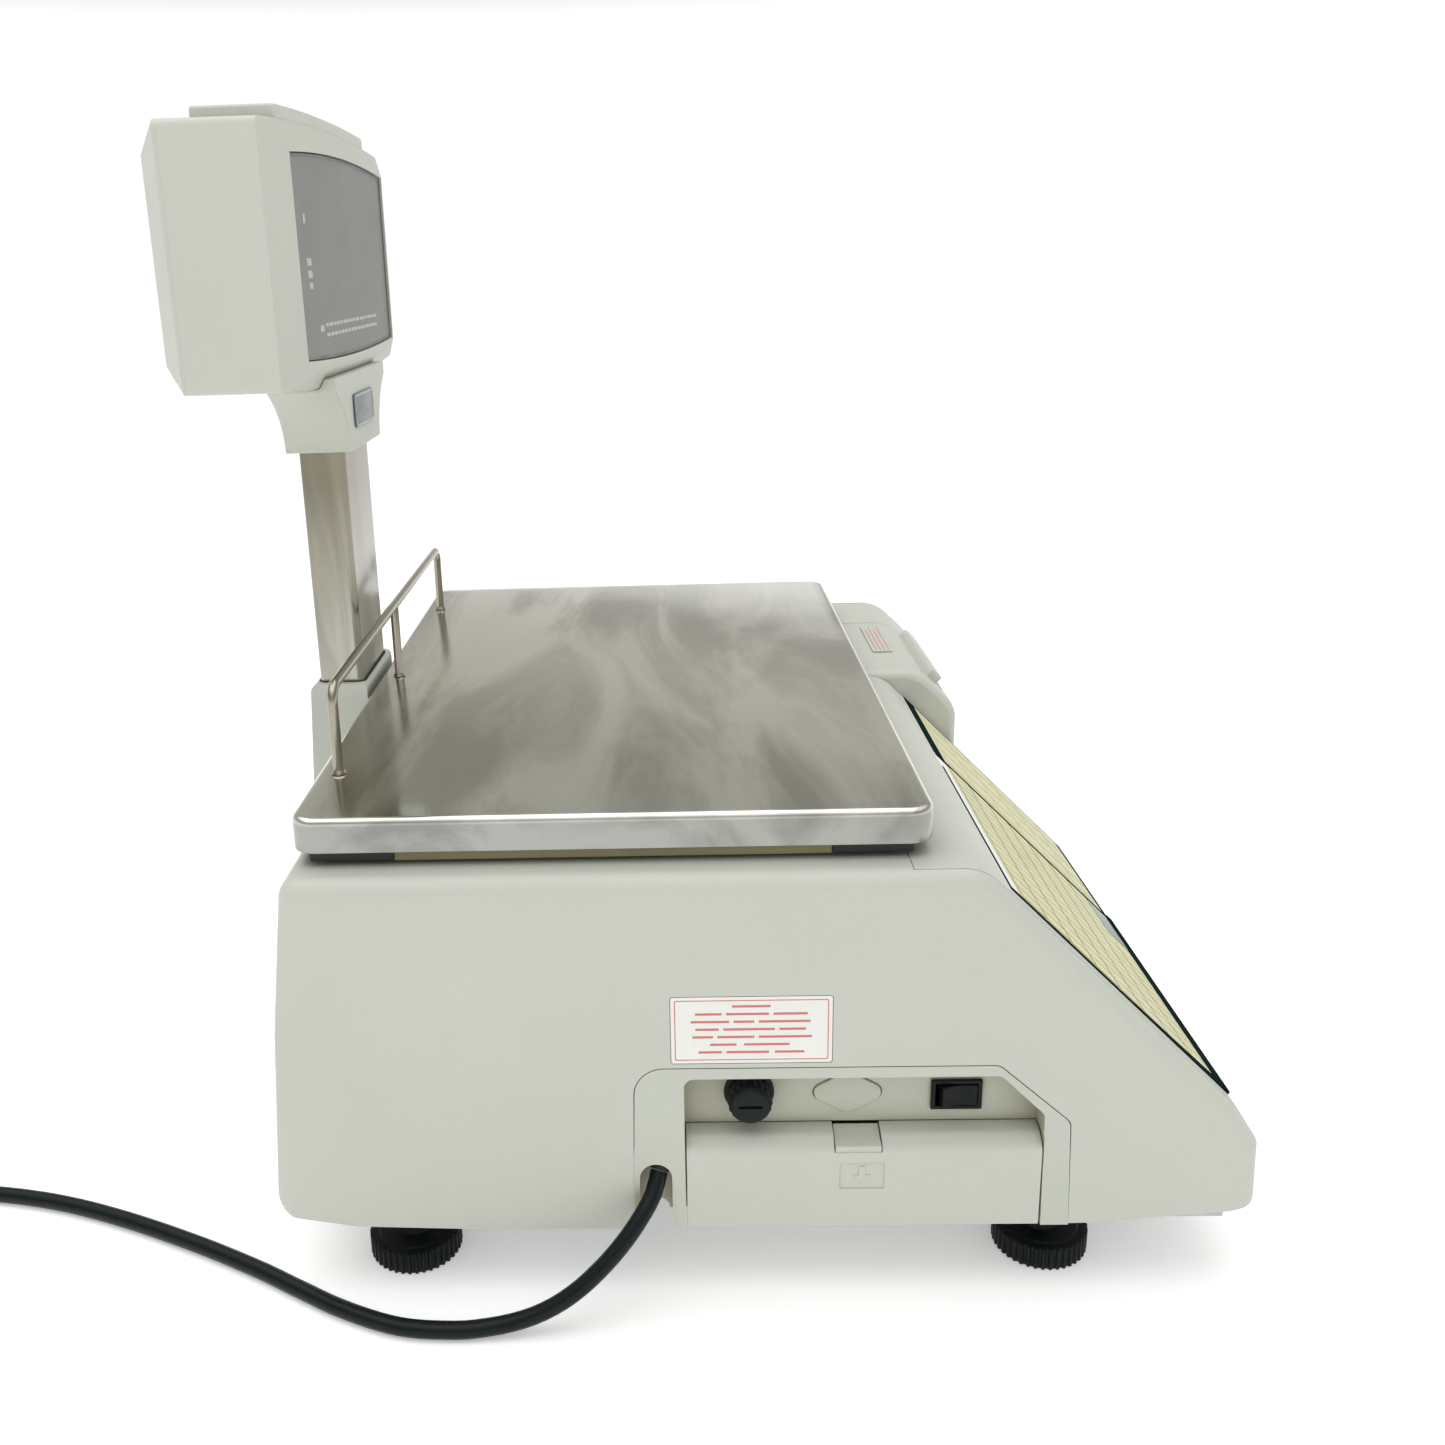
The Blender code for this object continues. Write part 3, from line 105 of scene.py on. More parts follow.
LID_LEFT, LID_RIGHT = 0.06, 0.15
LID_AXIS = (-0.094, PRINTER_TOP_Z)
NOTCH_Y = 0.0202
CORD_RADIUS = 0.0035
CORD_EXIT = Vector((-0.201, 0.0188, 0.0547))
CORD_HEADING = Vector((-0.6, 0.28, -0.75)).normalized()
COIL_CENTRE = Vector((-0.102, 0.412, 0.0))

HELPERS = bpy.data.collections.new("helpers")
bpy.context.scene.collection.children.link(HELPERS)
HELPERS.hide_render = True


# ---- camera
def make_camera():
    yaw, pitch, roll = math.radians(2.05), math.radians(16.8), math.radians(-1.82)
    ahead = Vector((math.cos(yaw), math.sin(yaw), 0.0))
    side = Vector((math.sin(yaw), -math.cos(yaw), 0.0))
    forward = ahead * math.cos(pitch) - Vector((0.0, 0.0, math.sin(pitch)))
    lifted = Vector((0.0, 0.0, math.cos(pitch))) + ahead * math.sin(pitch)
    right = side * math.cos(roll) + lifted * math.sin(roll)
    top = lifted * math.cos(roll) - side * math.sin(roll)
    data = bpy.data.cameras.new("view")
    data.lens = 34.22
    data.sensor_width = 36.0
    data.shift_x = 0.0717
    data.shift_y = -0.0329
    data.clip_start, data.clip_end = 0.01, 30.0
    camera = bpy.data.objects.new("view", data)
    turn = Matrix((right, top, -forward)).transposed().to_4x4()
    camera.matrix_world = Matrix.Translation((-0.6703, 0.012, 0.4038)) @ turn
    bpy.context.scene.collection.objects.link(camera)
    bpy.context.scene.camera = camera


# ---- materials
LOOKS = {}


def node(tree, kind, **values):
    """A shader node with its settings and its inputs' values."""
    made = tree.nodes.new("ShaderNode" + kind)
    for name, value in values.items():
        if hasattr(made, name):
            setattr(made, name, value)
        else:
            made.inputs[name.replace("_", " ")].default_value = value
    return made


def noise(tree, where, scale, detail=3.0, rough=0.55, distortion=0.0):
    made = node(tree, "TexNoise", Scale=scale, Detail=detail, Roughness=rough, Distortion=distortion)
    tree.links.new(where, made.inputs["Vector"])
    return made.outputs["Fac"]


def spread(tree, value, low, high, start=0.3, end=0.7):
    made = node(tree, "MapRange")
    for name, amount in (("From Min", start), ("From Max", end), ("To Min", low), ("To Max", high)):
        made.inputs[name].default_value = amount
    tree.links.new(value, made.inputs["Value"])
    return made.outputs["Result"]


def blend_colour(tree, share, first, second, kind="MIX"):
    made = tree.nodes.new("ShaderNodeMix")
    made.data_type = "RGBA"
    made.blend_type = kind
    for slot, value in ((0, share), (6, first), (7, second)):
        if isinstance(value, (int, float)):
            made.inputs[slot].default_value = value
        elif isinstance(value, tuple):
            made.inputs[slot].default_value = (*value, 1.0)
        else:
            tree.links.new(value, made.inputs[slot])
    return made.outputs[2]


def mapped(tree, where, **values):
    made = node(tree, "Mapping", **values)
    tree.links.new(where, made.inputs["Vector"])
    return made.outputs["Vector"]


def new_material(name):
    """A named material's node tree, its shader, and the position on the object."""
    made = bpy.data.materials.new(name)
    made.use_nodes = True
    LOOKS[name] = made
    tree = made.node_tree
    return tree, tree.nodes["Principled BSDF"], node(tree, "TexCoord").outputs["Object"]


def bump(tree, heights):
    """Bump nodes in a chain: each takes a height signal and its depth in metres."""
    normal = None
    for height, depth in heights:
        made = node(tree, "Bump", Strength=1.0, Distance=depth)
        tree.links.new(height, made.inputs["Height"])
        if normal is not None:
            tree.links.new(normal, made.inputs["Normal"])
        normal = made.outputs["Normal"]
    return normal


def look(name, colour, roughness, metallic=0.0, mottle=0.03, mottle_scale=18.0, grain=2200.0, grain_depth=0.00001,
         rough_spread=0.06, stretch=(1.0, 1.0, 1.0), stain=None, stain_share=0.15, painted_shade=0.0, painted_shade_reach=0.004,
         painted_shade_tint=(0.21, 0.215, 0.18), **sockets):
    """A moulded, painted or metal surface: mottles, stains, painted shade that darkens corners and recesses by ambient
    occlusion, uneven gloss and fine grain.
    """
    tree, shader, place_at = new_material(name)
    place_at = mapped(tree, place_at, Scale=stretch)
    dark = tuple(c * (1.0 - mottle) for c in colour)
    light = tuple(min(1.0, c * (1.0 + mottle)) for c in colour)
    tint = blend_colour(tree, spread(tree, noise(tree, place_at, mottle_scale), 0.0, 1.0), dark, light)
    if stain:
        share = spread(tree, noise(tree, place_at, mottle_scale * 0.37, 5.0, 0.6, 0.4), 0.0, stain_share, 0.45, 0.75)
        tint = blend_colour(tree, share, tint, stain)
    speck = spread(tree, noise(tree, place_at, grain * 0.6, 1.0), 0.985, 1.015)
    tint = blend_colour(tree, 1.0, tint, speck, "MULTIPLY")
    # Painted shade: where ambient occlusion finds corners, creases and recesses, the colour is blended towards the
    # shade tint.
    if painted_shade:
        corner = node(tree, "AmbientOcclusion", samples=4, only_local=False, Distance=painted_shade_reach)
        share = spread(tree, corner.outputs["AO"], painted_shade, 0.0, 0.35, 0.95)
        tint = blend_colour(tree, share, tint, painted_shade_tint)
    tree.links.new(tint, shader.inputs["Base Color"])
    patches = noise(tree, place_at, mottle_scale * 2.3, 4.0)
    gloss = spread(tree, patches, roughness - rough_spread, roughness + rough_spread)
    tree.links.new(gloss, shader.inputs["Roughness"])
    fine, waves = noise(tree, place_at, grain, 2.0), noise(tree, place_at, 60.0, 2.0)
    tree.links.new(bump(tree, [(fine, grain_depth), (waves, grain_depth * 4)]), shader.inputs["Normal"])
    shader.inputs["Metallic"].default_value = metallic
    for socket, value in sockets.items():
        shader.inputs[socket.replace("_", " ")].default_value = value


def polished_steel(name, colour, roughness, smear_scale, stretch, smear=0.1, painted_reflection=None, painted_reflection_span=(0.0, 1.0),
                   contrast=0.07, turn=0.0, sharpness=0.15):
    """Polished sheet steel with smears and polishing lines, changing over a height span to a second tint: a painted
    reflection that makes one height band look lit differently from the rest.
    """
    tree, shader, place_at = new_material(name)
    wiped = mapped(tree, place_at, Scale=stretch, Rotation=(0.0, 0.0, turn))
    swirl = noise(tree, wiped, smear_scale, 5.0, 0.6, 0.9)
    cloud = noise(tree, place_at, smear_scale * 0.45, 2.0, 0.5, 0.3)
    warmer = tuple(c * t for c, t in zip(colour, (0.9, 0.85, 0.76)))
    tint = blend_colour(tree, spread(tree, cloud, 0.0, 1.0, 0.36, 0.66), colour, warmer)
    # Painted reflection: a tint blended in by height, so one height band looks lighter or darker than the rest.
    if painted_reflection:
        height = node(tree, "SeparateXYZ")
        tree.links.new(place_at, height.inputs[0])
        share = spread(tree, height.outputs["Z"], 0.0, 1.0, *painted_reflection_span)
        tint = blend_colour(tree, share, tint, painted_reflection)
    streaks = spread(tree, swirl, 1.0 - contrast, 1.0 + contrast, 0.5 - sharpness, 0.5 + sharpness)
    tint = blend_colour(tree, 1.0, tint, streaks, "MULTIPLY")
    tree.links.new(tint, shader.inputs["Base Color"])
    tree.links.new(spread(tree, swirl, roughness, roughness + smear, 0.35, 0.7), shader.inputs["Roughness"])
    lines = noise(tree, mapped(tree, place_at, Scale=(40.0, 2500.0, 2500.0)), 1.0, 2.0)
    dents = noise(tree, place_at, 22.0, 1.0)
    tree.links.new(bump(tree, [(lines, 0.000004), (dents, 0.0001)]), shader.inputs["Normal"])
    shader.inputs["Metallic"].default_value = 1.0


def make_looks():
    plastic = (0.535, 0.553, 0.49)
    # The housing plastic, darkened by painted shade in its corners and seams.
    look("housing", plastic, 0.46, mottle=0.02, mottle_scale=9.0, stain=(0.5, 0.47, 0.33), stain_share=0.1,
         grain_depth=0.000012, painted_shade=0.4)
    # The side panel's plastic, a little darker in tone, with strong warm-tinted painted shade over a wide reach that
    # fills its recess.
    look("housing_aged_and_shaded", (0.52, 0.542, 0.475), 0.45, mottle=0.03, mottle_scale=14.0, stain=(0.44, 0.41, 0.27),
         stain_share=0.16, grain_depth=0.000012, painted_shade=0.75, painted_shade_reach=0.03, painted_shade_tint=(0.31, 0.29, 0.17))
    # Painted shade darkens the keypad film round and between its low keys.
    look("keypad_film", (0.63, 0.61, 0.375), 0.5, mottle=0.03, mottle_scale=40.0, stain=(0.48, 0.46, 0.28),
         stain_share=0.25, grain_depth=0.000006, painted_shade=0.65, painted_shade_reach=0.0025, Specular_IOR_Level=0.2)
    look("keypad_white", (0.74, 0.75, 0.7), 0.36, mottle=0.02, mottle_scale=30.0, grain_depth=0.000006)
    look("keypad_border", (0.01, 0.02, 0.02), 0.85, mottle=0.1, mottle_scale=60.0, grain_depth=0.000005,
         Specular_IOR_Level=0.0)
    look("keypad_grey", (0.36, 0.39, 0.36), 0.55, mottle=0.05, mottle_scale=50.0, grain_depth=0.000006,
         Specular_IOR_Level=0.2)
    look("window", (0.138, 0.144, 0.122), 0.36, mottle=0.02, mottle_scale=14.0, stain=(0.17, 0.17, 0.155),
         stain_share=0.2, grain_depth=0.000003, rough_spread=0.02, Specular_IOR_Level=0.3)
    look("window_edge", (0.045, 0.05, 0.045), 0.35, mottle=0.08, mottle_scale=50.0)
    look("window_mark", (0.42, 0.44, 0.4), 0.4, mottle=0.05, mottle_scale=80.0)
    # Painted reflection: the platter's top face takes a much lighter tint than its darker skirt.
    polished_steel("platter_steel", (0.3, 0.305, 0.29), 0.09, 4.6, (0.9, 3.8, 5.0), 0.12, painted_reflection=(0.67, 0.66, 0.6),
                   painted_reflection_span=(PLATTER_Z - 0.003, PLATTER_Z - 0.0005), contrast=0.17, turn=0.75, sharpness=0.09)
    polished_steel("stainless", (0.36, 0.34, 0.29), 0.14, 16.0, (1.0, 1.0, 0.6), 0.12)
    # Painted reflection: the pole darkens towards its top.
    polished_steel("pole_metal", (0.46, 0.46, 0.425), 0.18, 14.0, (2.4, 2.4, 0.45), painted_reflection=(0.22, 0.205, 0.155),
                   painted_reflection_span=(0.215, 0.305), contrast=0.24)
    look("aluminium", (0.66, 0.67, 0.68), 0.35, 1.0, mottle=0.05, mottle_scale=60.0, stretch=(1.0, 12.0, 12.0))
    look("steel", (0.45, 0.46, 0.47), 0.4, 1.0, mottle=0.12, mottle_scale=90.0)
    look("black_plastic", (0.0045, 0.0065, 0.0075), 0.48, mottle=0.15, mottle_scale=60.0, grain_depth=0.000015,
         Specular_IOR_Level=0.2)
    look("rubber", (0.016, 0.017, 0.017), 0.62, mottle=0.2, mottle_scale=80.0, grain_depth=0.00003)
    look("cord", (0.003, 0.007, 0.008), 0.3, mottle=0.2, mottle_scale=120.0, grain_depth=0.000008,
         Specular_IOR_Level=0.2)
    look("label", (0.8, 0.8, 0.77), 0.48, mottle=0.015, mottle_scale=60.0, grain_depth=0.000004)
    look("label_red", (0.6, 0.17, 0.15), 0.48, mottle=0.06, mottle_scale=200.0, grain_depth=0.000004)
    look("badge", (0.16, 0.185, 0.2), 0.32, mottle=0.05, mottle_scale=90.0, grain_depth=0.000004)
    look("badge_edge", (0.42, 0.45, 0.45), 0.3, 0.8, mottle=0.05, mottle_scale=90.0)
    look("circuit_board", (0.03, 0.15, 0.07), 0.45, mottle=0.25, mottle_scale=160.0)
    look("paper", (0.86, 0.86, 0.83), 0.75, mottle=0.02, mottle_scale=60.0, grain=1500.0, grain_depth=0.00002)
    look("gear_plastic", (0.78, 0.77, 0.71), 0.42, mottle=0.03, mottle_scale=60.0)
    look("glass", (0.72, 0.78, 0.77), 0.12, mottle=0.03, mottle_scale=60.0, grain_depth=0.000001, rough_spread=0.03)
    look("iron", (0.16, 0.15, 0.14), 0.5, 1.0, mottle=0.2, mottle_scale=70.0, stretch=(1.0, 1.0, 30.0))
    look("frame_casting", (0.012, 0.016, 0.014), 0.5, mottle=0.2, mottle_scale=60.0, grain_depth=0.00003)
    look("inside_tan", (0.24, 0.21, 0.115), 0.6, mottle=0.1, mottle_scale=20.0)
    look("floor", (0.92, 0.92, 0.92), 0.75, mottle=0.005, mottle_scale=3.0, grain_depth=0.000005,
         Emission_Color=(1.0, 1.0, 1.0, 1.0), Emission_Strength=0.3)


# ---- shape helpers
def place(name, data):
    obj = bpy.data.objects.new(name, data)
    HELPERS.objects.link(obj)
    return obj


def mesh_from(bm, name):
    for vert in bm.verts:
        vert.co = [round(value, 6) for value in vert.co]
    bmesh.ops.recalc_face_normals(bm, faces=bm.faces)
    mesh = bpy.data.meshes.new(name)
    bm.to_mesh(mesh)
    bm.free()
    return mesh


def box(name, low, high, bevel=0.0, matrix=None, segments=3):
    """A block between two corners, with rounded edges."""
    low, high = Vector(low), Vector(high)
    bm = bmesh.new()
    bmesh.ops.create_cube(bm, size=1.0)
    bmesh.ops.scale(bm, vec=high - low, verts=bm.verts)
    bmesh.ops.translate(bm, vec=(low + high) / 2, verts=bm.verts)
    if bevel:
        bmesh.ops.bevel(bm, geom=bm.edges[:], offset=bevel, segments=segments, profile=0.5, affect="EDGES")
    if matrix is not None:
        bmesh.ops.transform(bm, matrix=matrix, verts=bm.verts)
    return place(name, mesh_from(bm, name))


def rounded(corners, arc_step=math.radians(7)):
    """The outline through (a, b, radius) corners, with an arc at each corner that has a radius."""
    outline = []
    count = len(corners)
    for i, (a, b, radius) in enumerate(corners):
        here = Vector((a, b))
        before = (Vector(corners[i - 1][:2]) - here).normalized()
        after = (Vector(corners[(i + 1) % count][:2]) - here).normalized()
        between = before.angle(after)
        if radius <= 0 or between > math.radians(178):
            outline.append((a, b))
            continue
        reach = radius / math.tan(between / 2)
        centre = here + (before + after).normalized() * (radius / math.sin(between / 2))
        start, end = here + before * reach - centre, here + after * reach - centre
        turn = start.angle_signed(end)
        steps = max(2, math.ceil(abs(turn) / arc_step - 1e-4))
        for k in range(steps + 1):
            spoke = start.copy()
            spoke.rotate(Matrix.Rotation(-turn * k / steps, 2))
            outline.append(tuple(centre + spoke))
    return outline


def rectangle(low_a, low_b, high_a, high_b, *radii):
    """The anticlockwise corners of a rectangle, with one radius for all of them or one each."""
    places = ((low_a, low_b), (high_a, low_b), (high_a, high_b), (low_a, high_b))
    return [(*at, radius) for at, radius in zip(places, radii if len(radii) == 4 else radii * 4)]


def quarter(steps, radius, first=0):
    """How far each step of a quarter round stands back from its side and from its top."""
    angles = [math.pi / 2 * k / steps for k in range(first, steps + 1)]
    return [(radius * (1 - math.cos(angle)), radius * (1 - math.sin(angle))) for angle in angles]


def wheel(a, b, count, radius_at):
    """A closed outline about (a, b) whose radius depends on the angle."""
    angles = [2 * math.pi * k / count for k in range(count)]
    return [(a + radius_at(angle) * math.cos(angle), b + radius_at(angle) * math.sin(angle)) for angle in angles]


def inset(corners, distance, base_distance=None):
    """The anticlockwise corner list moved inwards by distance, or by base_distance at edges of the base."""
    moved = []
    count = len(corners)
    for i, (a, b, radius) in enumerate(corners):
        here, before, after = (Vector(corners[k % count][:2]) for k in (i, i - 1, i + 1))
        normals, offsets = [], []
        for start, end in ((before, here), (here, after)):
            along = (end - start).normalized()
            normals.append(Vector((-along.y, along.x)))
            is_base = base_distance is not None and max(start.y, end.y) < BASE_EDGE_Z
            offsets.append(base_distance if is_base else distance)
        (first, second), (near, far) = normals, offsets
        cross = first.x * second.y - first.y * second.x
        shift = Vector((near * second.y - far * first.y, first.x * far - second.x * near)) / cross
        changed = radius - distance if cross > 0 else radius + distance
        point = here + shift
        moved.append((round(point.x, 6), round(point.y, 6), 0.0 if radius == 0 else max(changed, 0.0005)))
    return moved


AXIS_TURNS = {
    "X": Matrix(((0, 0, 1, 0), (1, 0, 0, 0), (0, 1, 0, 0), (0, 0, 0, 1))),
    "Y": Matrix(((1, 0, 0, 0), (0, 0, -1, 0), (0, 1, 0, 0), (0, 0, 0, 1))),
    "Z": Matrix.Identity(4),
}


def facing(axis, a=0.0, b=0.0, c=0.0):
    """The placement that stands a shape drawn about Z along axis, c along it and at (a, b) across it."""
    return Matrix.Translation({"X": (c, a, b), "Y": (a, c, b), "Z": (a, b, c)}[axis]) @ AXIS_TURNS[axis]


def final_mesh(obj):
    """The mesh that obj's modifiers give, in the shared frame."""
    mesh = bpy.data.meshes.new_from_object(obj.evaluated_get(bpy.context.evaluated_depsgraph_get()))
    mesh.transform(obj.matrix_world)
    return mesh


def slab(name, outline, axis, low, high, bevel=0.0, segments=3):
    """A flat outline in the other two axes, in X, Y, Z order, from low to high along axis, with rounded rims."""
    curve = bpy.data.curves.new(name, "CURVE")
    curve.dimensions = "2D"
    curve.fill_mode = "BOTH"
    curve.extrude = (high - low) / 2
    spline = curve.splines.new("POLY")
    spline.points.add(len(outline) - 1)
    for point, (a, b) in zip(spline.points, outline):
        point.co = (a, b, 0.0, 1.0)
    spline.use_cyclic_u = True
    guide = place(name, curve)
    mesh = final_mesh(guide)
    bpy.data.objects.remove(guide)
    bm = bmesh.new()
    bm.from_mesh(mesh)
    bmesh.ops.remove_doubles(bm, verts=bm.verts, dist=1e-6)
    bmesh.ops.dissolve_limit(bm, angle_limit=math.radians(0.5), verts=bm.verts, edges=bm.edges)
    if bevel:
        rims = [e for e in bm.edges if len(e.link_faces) == 2 and e.calc_face_angle() > math.radians(60)
                and abs(e.verts[0].co.z - e.verts[1].co.z) < 1e-7]
        bmesh.ops.bevel(bm, geom=rims, offset=bevel, segments=segments, profile=0.5, affect="EDGES", clamp_overlap=True)
    bmesh.ops.transform(bm, matrix=facing(axis, c=(low + high) / 2), verts=bm.verts)
    bpy.data.meshes.remove(mesh)
    return place(name, mesh_from(bm, name))


def disc(name, centre, axis, radius, low, high):
    """A cylinder about a point (a, b) across the axis, from low to high along it."""
    bm = bmesh.new()
    bmesh.ops.create_cone(bm, cap_ends=True, segments=48, radius1=radius, radius2=radius, depth=high - low)
    bmesh.ops.transform(bm, matrix=facing(axis, *centre, (low + high) / 2), verts=bm.verts)
    return place(name, mesh_from(bm, name))


def turned(name, profile, centre=(0.0, 0.0, 0.0), steps=48, axis="Z", matrix=None):
    """A profile of (radius, height) turned about an axis through centre."""
    following = profile[1:] + profile[:1]
    if sum(r * next_h - next_r * h for (r, h), (next_r, next_h) in zip(profile, following)) > 0:
        profile = profile[::-1]
    mesh = bpy.data.meshes.new(name)
    edges = [(i, i + 1) for i in range(len(profile) - 1)]
    if profile[0][0] > 0:
        edges.append((len(profile) - 1, 0))
    mesh.from_pydata([(radius, 0.0, height) for radius, height in profile], edges, [])
    obj = place(name, mesh)
    obj.matrix_world = matrix if matrix is not None else Matrix.Translation(centre) @ AXIS_TURNS[axis]
    screw = obj.modifiers.new("turning", "SCREW")
    screw.steps = screw.render_steps = steps
    screw.use_merge_vertices = True
    screw.merge_threshold = 1e-6
    return obj


def wire(name, points, radius, resolution):
    """A round wire or cord along an open path."""
    curve = bpy.data.curves.new(name, "CURVE")
    curve.dimensions = "3D"
    curve.bevel_depth = radius
    curve.bevel_resolution = resolution
    curve.use_fill_caps = True
    spline = curve.splines.new("POLY")
    spline.points.add(len(points) - 1)
    for point, place_at in zip(spline.points, points):
        point.co = (*place_at, 1.0)
    return place(name, curve)


def combine(obj, operation, *others):
    for other in others:
        step = obj.modifiers.new(operation.lower() + "_" + other.name, "BOOLEAN")
        step.operation = operation
        step.solver = "EXACT"
        step.object = other
    return obj


def cut(obj, *others):
    return combine(obj, "DIFFERENCE", *others)


def add(obj, *others):
    return combine(obj, "UNION", *others)


def keep(obj, *others):
    return combine(obj, "INTERSECT", *others)


def settled(name, obj):
    """A new object that holds the shape that obj's modifiers give."""
    mesh = final_mesh(obj)
    mesh.materials.clear()
    bm = bmesh.new()
    bm.from_mesh(mesh)
    bmesh.ops.remove_doubles(bm, verts=bm.verts, dist=2e-6)
    bmesh.ops.dissolve_degenerate(bm, edges=bm.edges, dist=2e-6)
    bmesh.ops.recalc_face_normals(bm, faces=bm.faces)
    bm.to_mesh(mesh)
    bm.free()
    return place(name, mesh)


def loft(name, rings):
    """A closed shape through rings of equal point counts, with flat ends."""
    bm = bmesh.new()
    loops = [[bm.verts.new(point) for point in ring] for ring in rings]
    count = len(loops[0])
    for first, second in zip(loops, loops[1:]):
        for i in range(count):
            bm.faces.new((first[i], first[(i + 1) % count], second[(i + 1) % count], second[i]))
    for end in (loops[0], loops[-1]):
        bm.faces.new(end)
    return place(name, mesh_from(bm, name))


def joined(name, *objs):
    """One object from several closed shapes that only touch or lie apart."""
    bm = bmesh.new()
    for obj in objs:
        bm.from_mesh(final_mesh(obj))
    mesh = bpy.data.meshes.new(name)
    bm.to_mesh(mesh)
    bm.free()
    mesh.materials.clear()
    return place(name, mesh)


def reveal(piece):
    HELPERS.objects.unlink(piece)
    bpy.context.scene.collection.objects.link(piece)


def show(name, obj, body, slot, look_name=None, nodes=(), soften=0.0, sharp=32.0, segments=2):
    """The finished piece: shape made final, edges softened, material from look_name or else slot, parented to body, and
    the CAD nodes it stands for hidden.
    """
    piece = settled(name + "_final", obj)
    piece.name = name
    reveal(piece)
    piece.data.shade_smooth()
    piece.data.set_sharp_from_angle(angle=math.radians(sharp))
    if soften:
        edge = piece.modifiers.new("softened_edges", "BEVEL")
        edge.width = soften
        edge.segments = segments
        edge.limit_method = "ANGLE"
        edge.angle_limit = math.radians(30)
        edge.miter_outer = "MITER_ARC"
        edge.harden_normals = False
        edge.use_clamp_overlap = True
    piece.data.materials.append(LOOKS[look_name or slot])
    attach(piece, body)
    if nodes:
        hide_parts(*nodes)
    return piece


def along(at, heading):
    """The placement that points a shape drawn along Z at heading, from at."""
    return Matrix.Translation(at) @ heading.to_track_quat("Z", "Y").to_matrix().to_4x4()


def smooth_path(points, spacing):
    """Points at equal spacing along the Catmull-Rom curve through the given points."""
    anchors = [Vector(p) for p in points]
    anchors = [2 * anchors[0] - anchors[1], *anchors, 2 * anchors[-1] - anchors[-2]]
    dense = []
    for before, start, end, after in zip(anchors, anchors[1:], anchors[2:], anchors[3:]):
        for k in range(16):
            t = k / 16
            dense.append(0.5 * (2 * start + (end - before) * t + (2 * before - 5 * start + 4 * end - after) * t**2
                         + (3 * start - before - 3 * end + after) * t**3))
    dense.append(anchors[-2])
    travelled = [0.0]
    for start, end in zip(dense, dense[1:]):
        travelled.append(travelled[-1] + (end - start).length)
    count = round(travelled[-1] / spacing)
    path = []
    at = 0
    for k in range(count + 1):
        wanted = travelled[-1] * k / count
        while at < len(travelled) - 2 and travelled[at + 1] < wanted:
            at += 1
        share = (wanted - travelled[at]) / (travelled[at + 1] - travelled[at])
        path.append(dense[at].lerp(dense[at + 1], min(share, 1.0)))
    return path, travelled[-1]


# ---- mains cord
CORD_ROUTE = [
    (-0.2122, 0.0259, 0.0421), (-0.2163, 0.031, 0.0363), (-0.22, 0.037, 0.0303), (-0.2232, 0.0437, 0.0245),
    (-0.2258, 0.0508, 0.019), (-0.2276, 0.0588, 0.0138), (-0.2286, 0.0675, 0.0094), (-0.2292, 0.077, 0.0062),
    (-0.23, 0.088, 0.0044), (-0.2306, 0.101, 0.0037), (-0.2284, 0.123, 0.0037), (-0.219, 0.147, 0.0037),
    (-0.2075, 0.1676, 0.0037), (-0.1957, 0.188, 0.0037), (-0.18, 0.219, 0.0037), (-0.1635, 0.257, 0.0037),
    (-0.152, 0.291, 0.0037), (-0.1455, 0.324, 0.0037), (-0.144, 0.356, 0.0037), (-0.144, 0.387, 0.0037),
]
LEVELS = (0.0037, 0.0107, 0.0177)
INNER_TURN, OUTER_TURN = 0.035, 0.042
TURN_RADII = [(0, OUTER_TURN), (285, OUTER_TURN), (355, INNER_TURN), (895, INNER_TURN), (960, OUTER_TURN),
              (1455, OUTER_TURN), (1525, INNER_TURN), (1790, INNER_TURN)]
TURN_HEIGHTS = [(0, LEVELS[0]), (610, LEVELS[0]), (688, LEVELS[1]), (1180, LEVELS[1]), (1255, LEVELS[2]),
                (1790, LEVELS[2])]
TURN_STEP = 15.0
TAIL_ROUTE = [
    (-0.0345, 0.013, 0.0205), (-0.033, 0.021, 0.0238), (-0.03, 0.03, 0.025), (-0.0248, 0.039, 0.0247),
    (-0.0165, 0.0462, 0.0225), (-0.006, 0.0515, 0.018), (0.005, 0.0553, 0.0145), (0.0145, 0.0573, 0.0129),
    (0.025, 0.0582, 0.0126), (0.036, 0.0585, 0.0126),
]


def stepped(table, angle):
    """The table's value at an angle in degrees, eased between its entries."""
    for (start, value), (end, following) in zip(table, table[1:]):
        if angle <= end:
            share = (angle - start) / (end - start)
            return value + (following - value) * share * share * (3 - 2 * share)
    return table[-1][1]


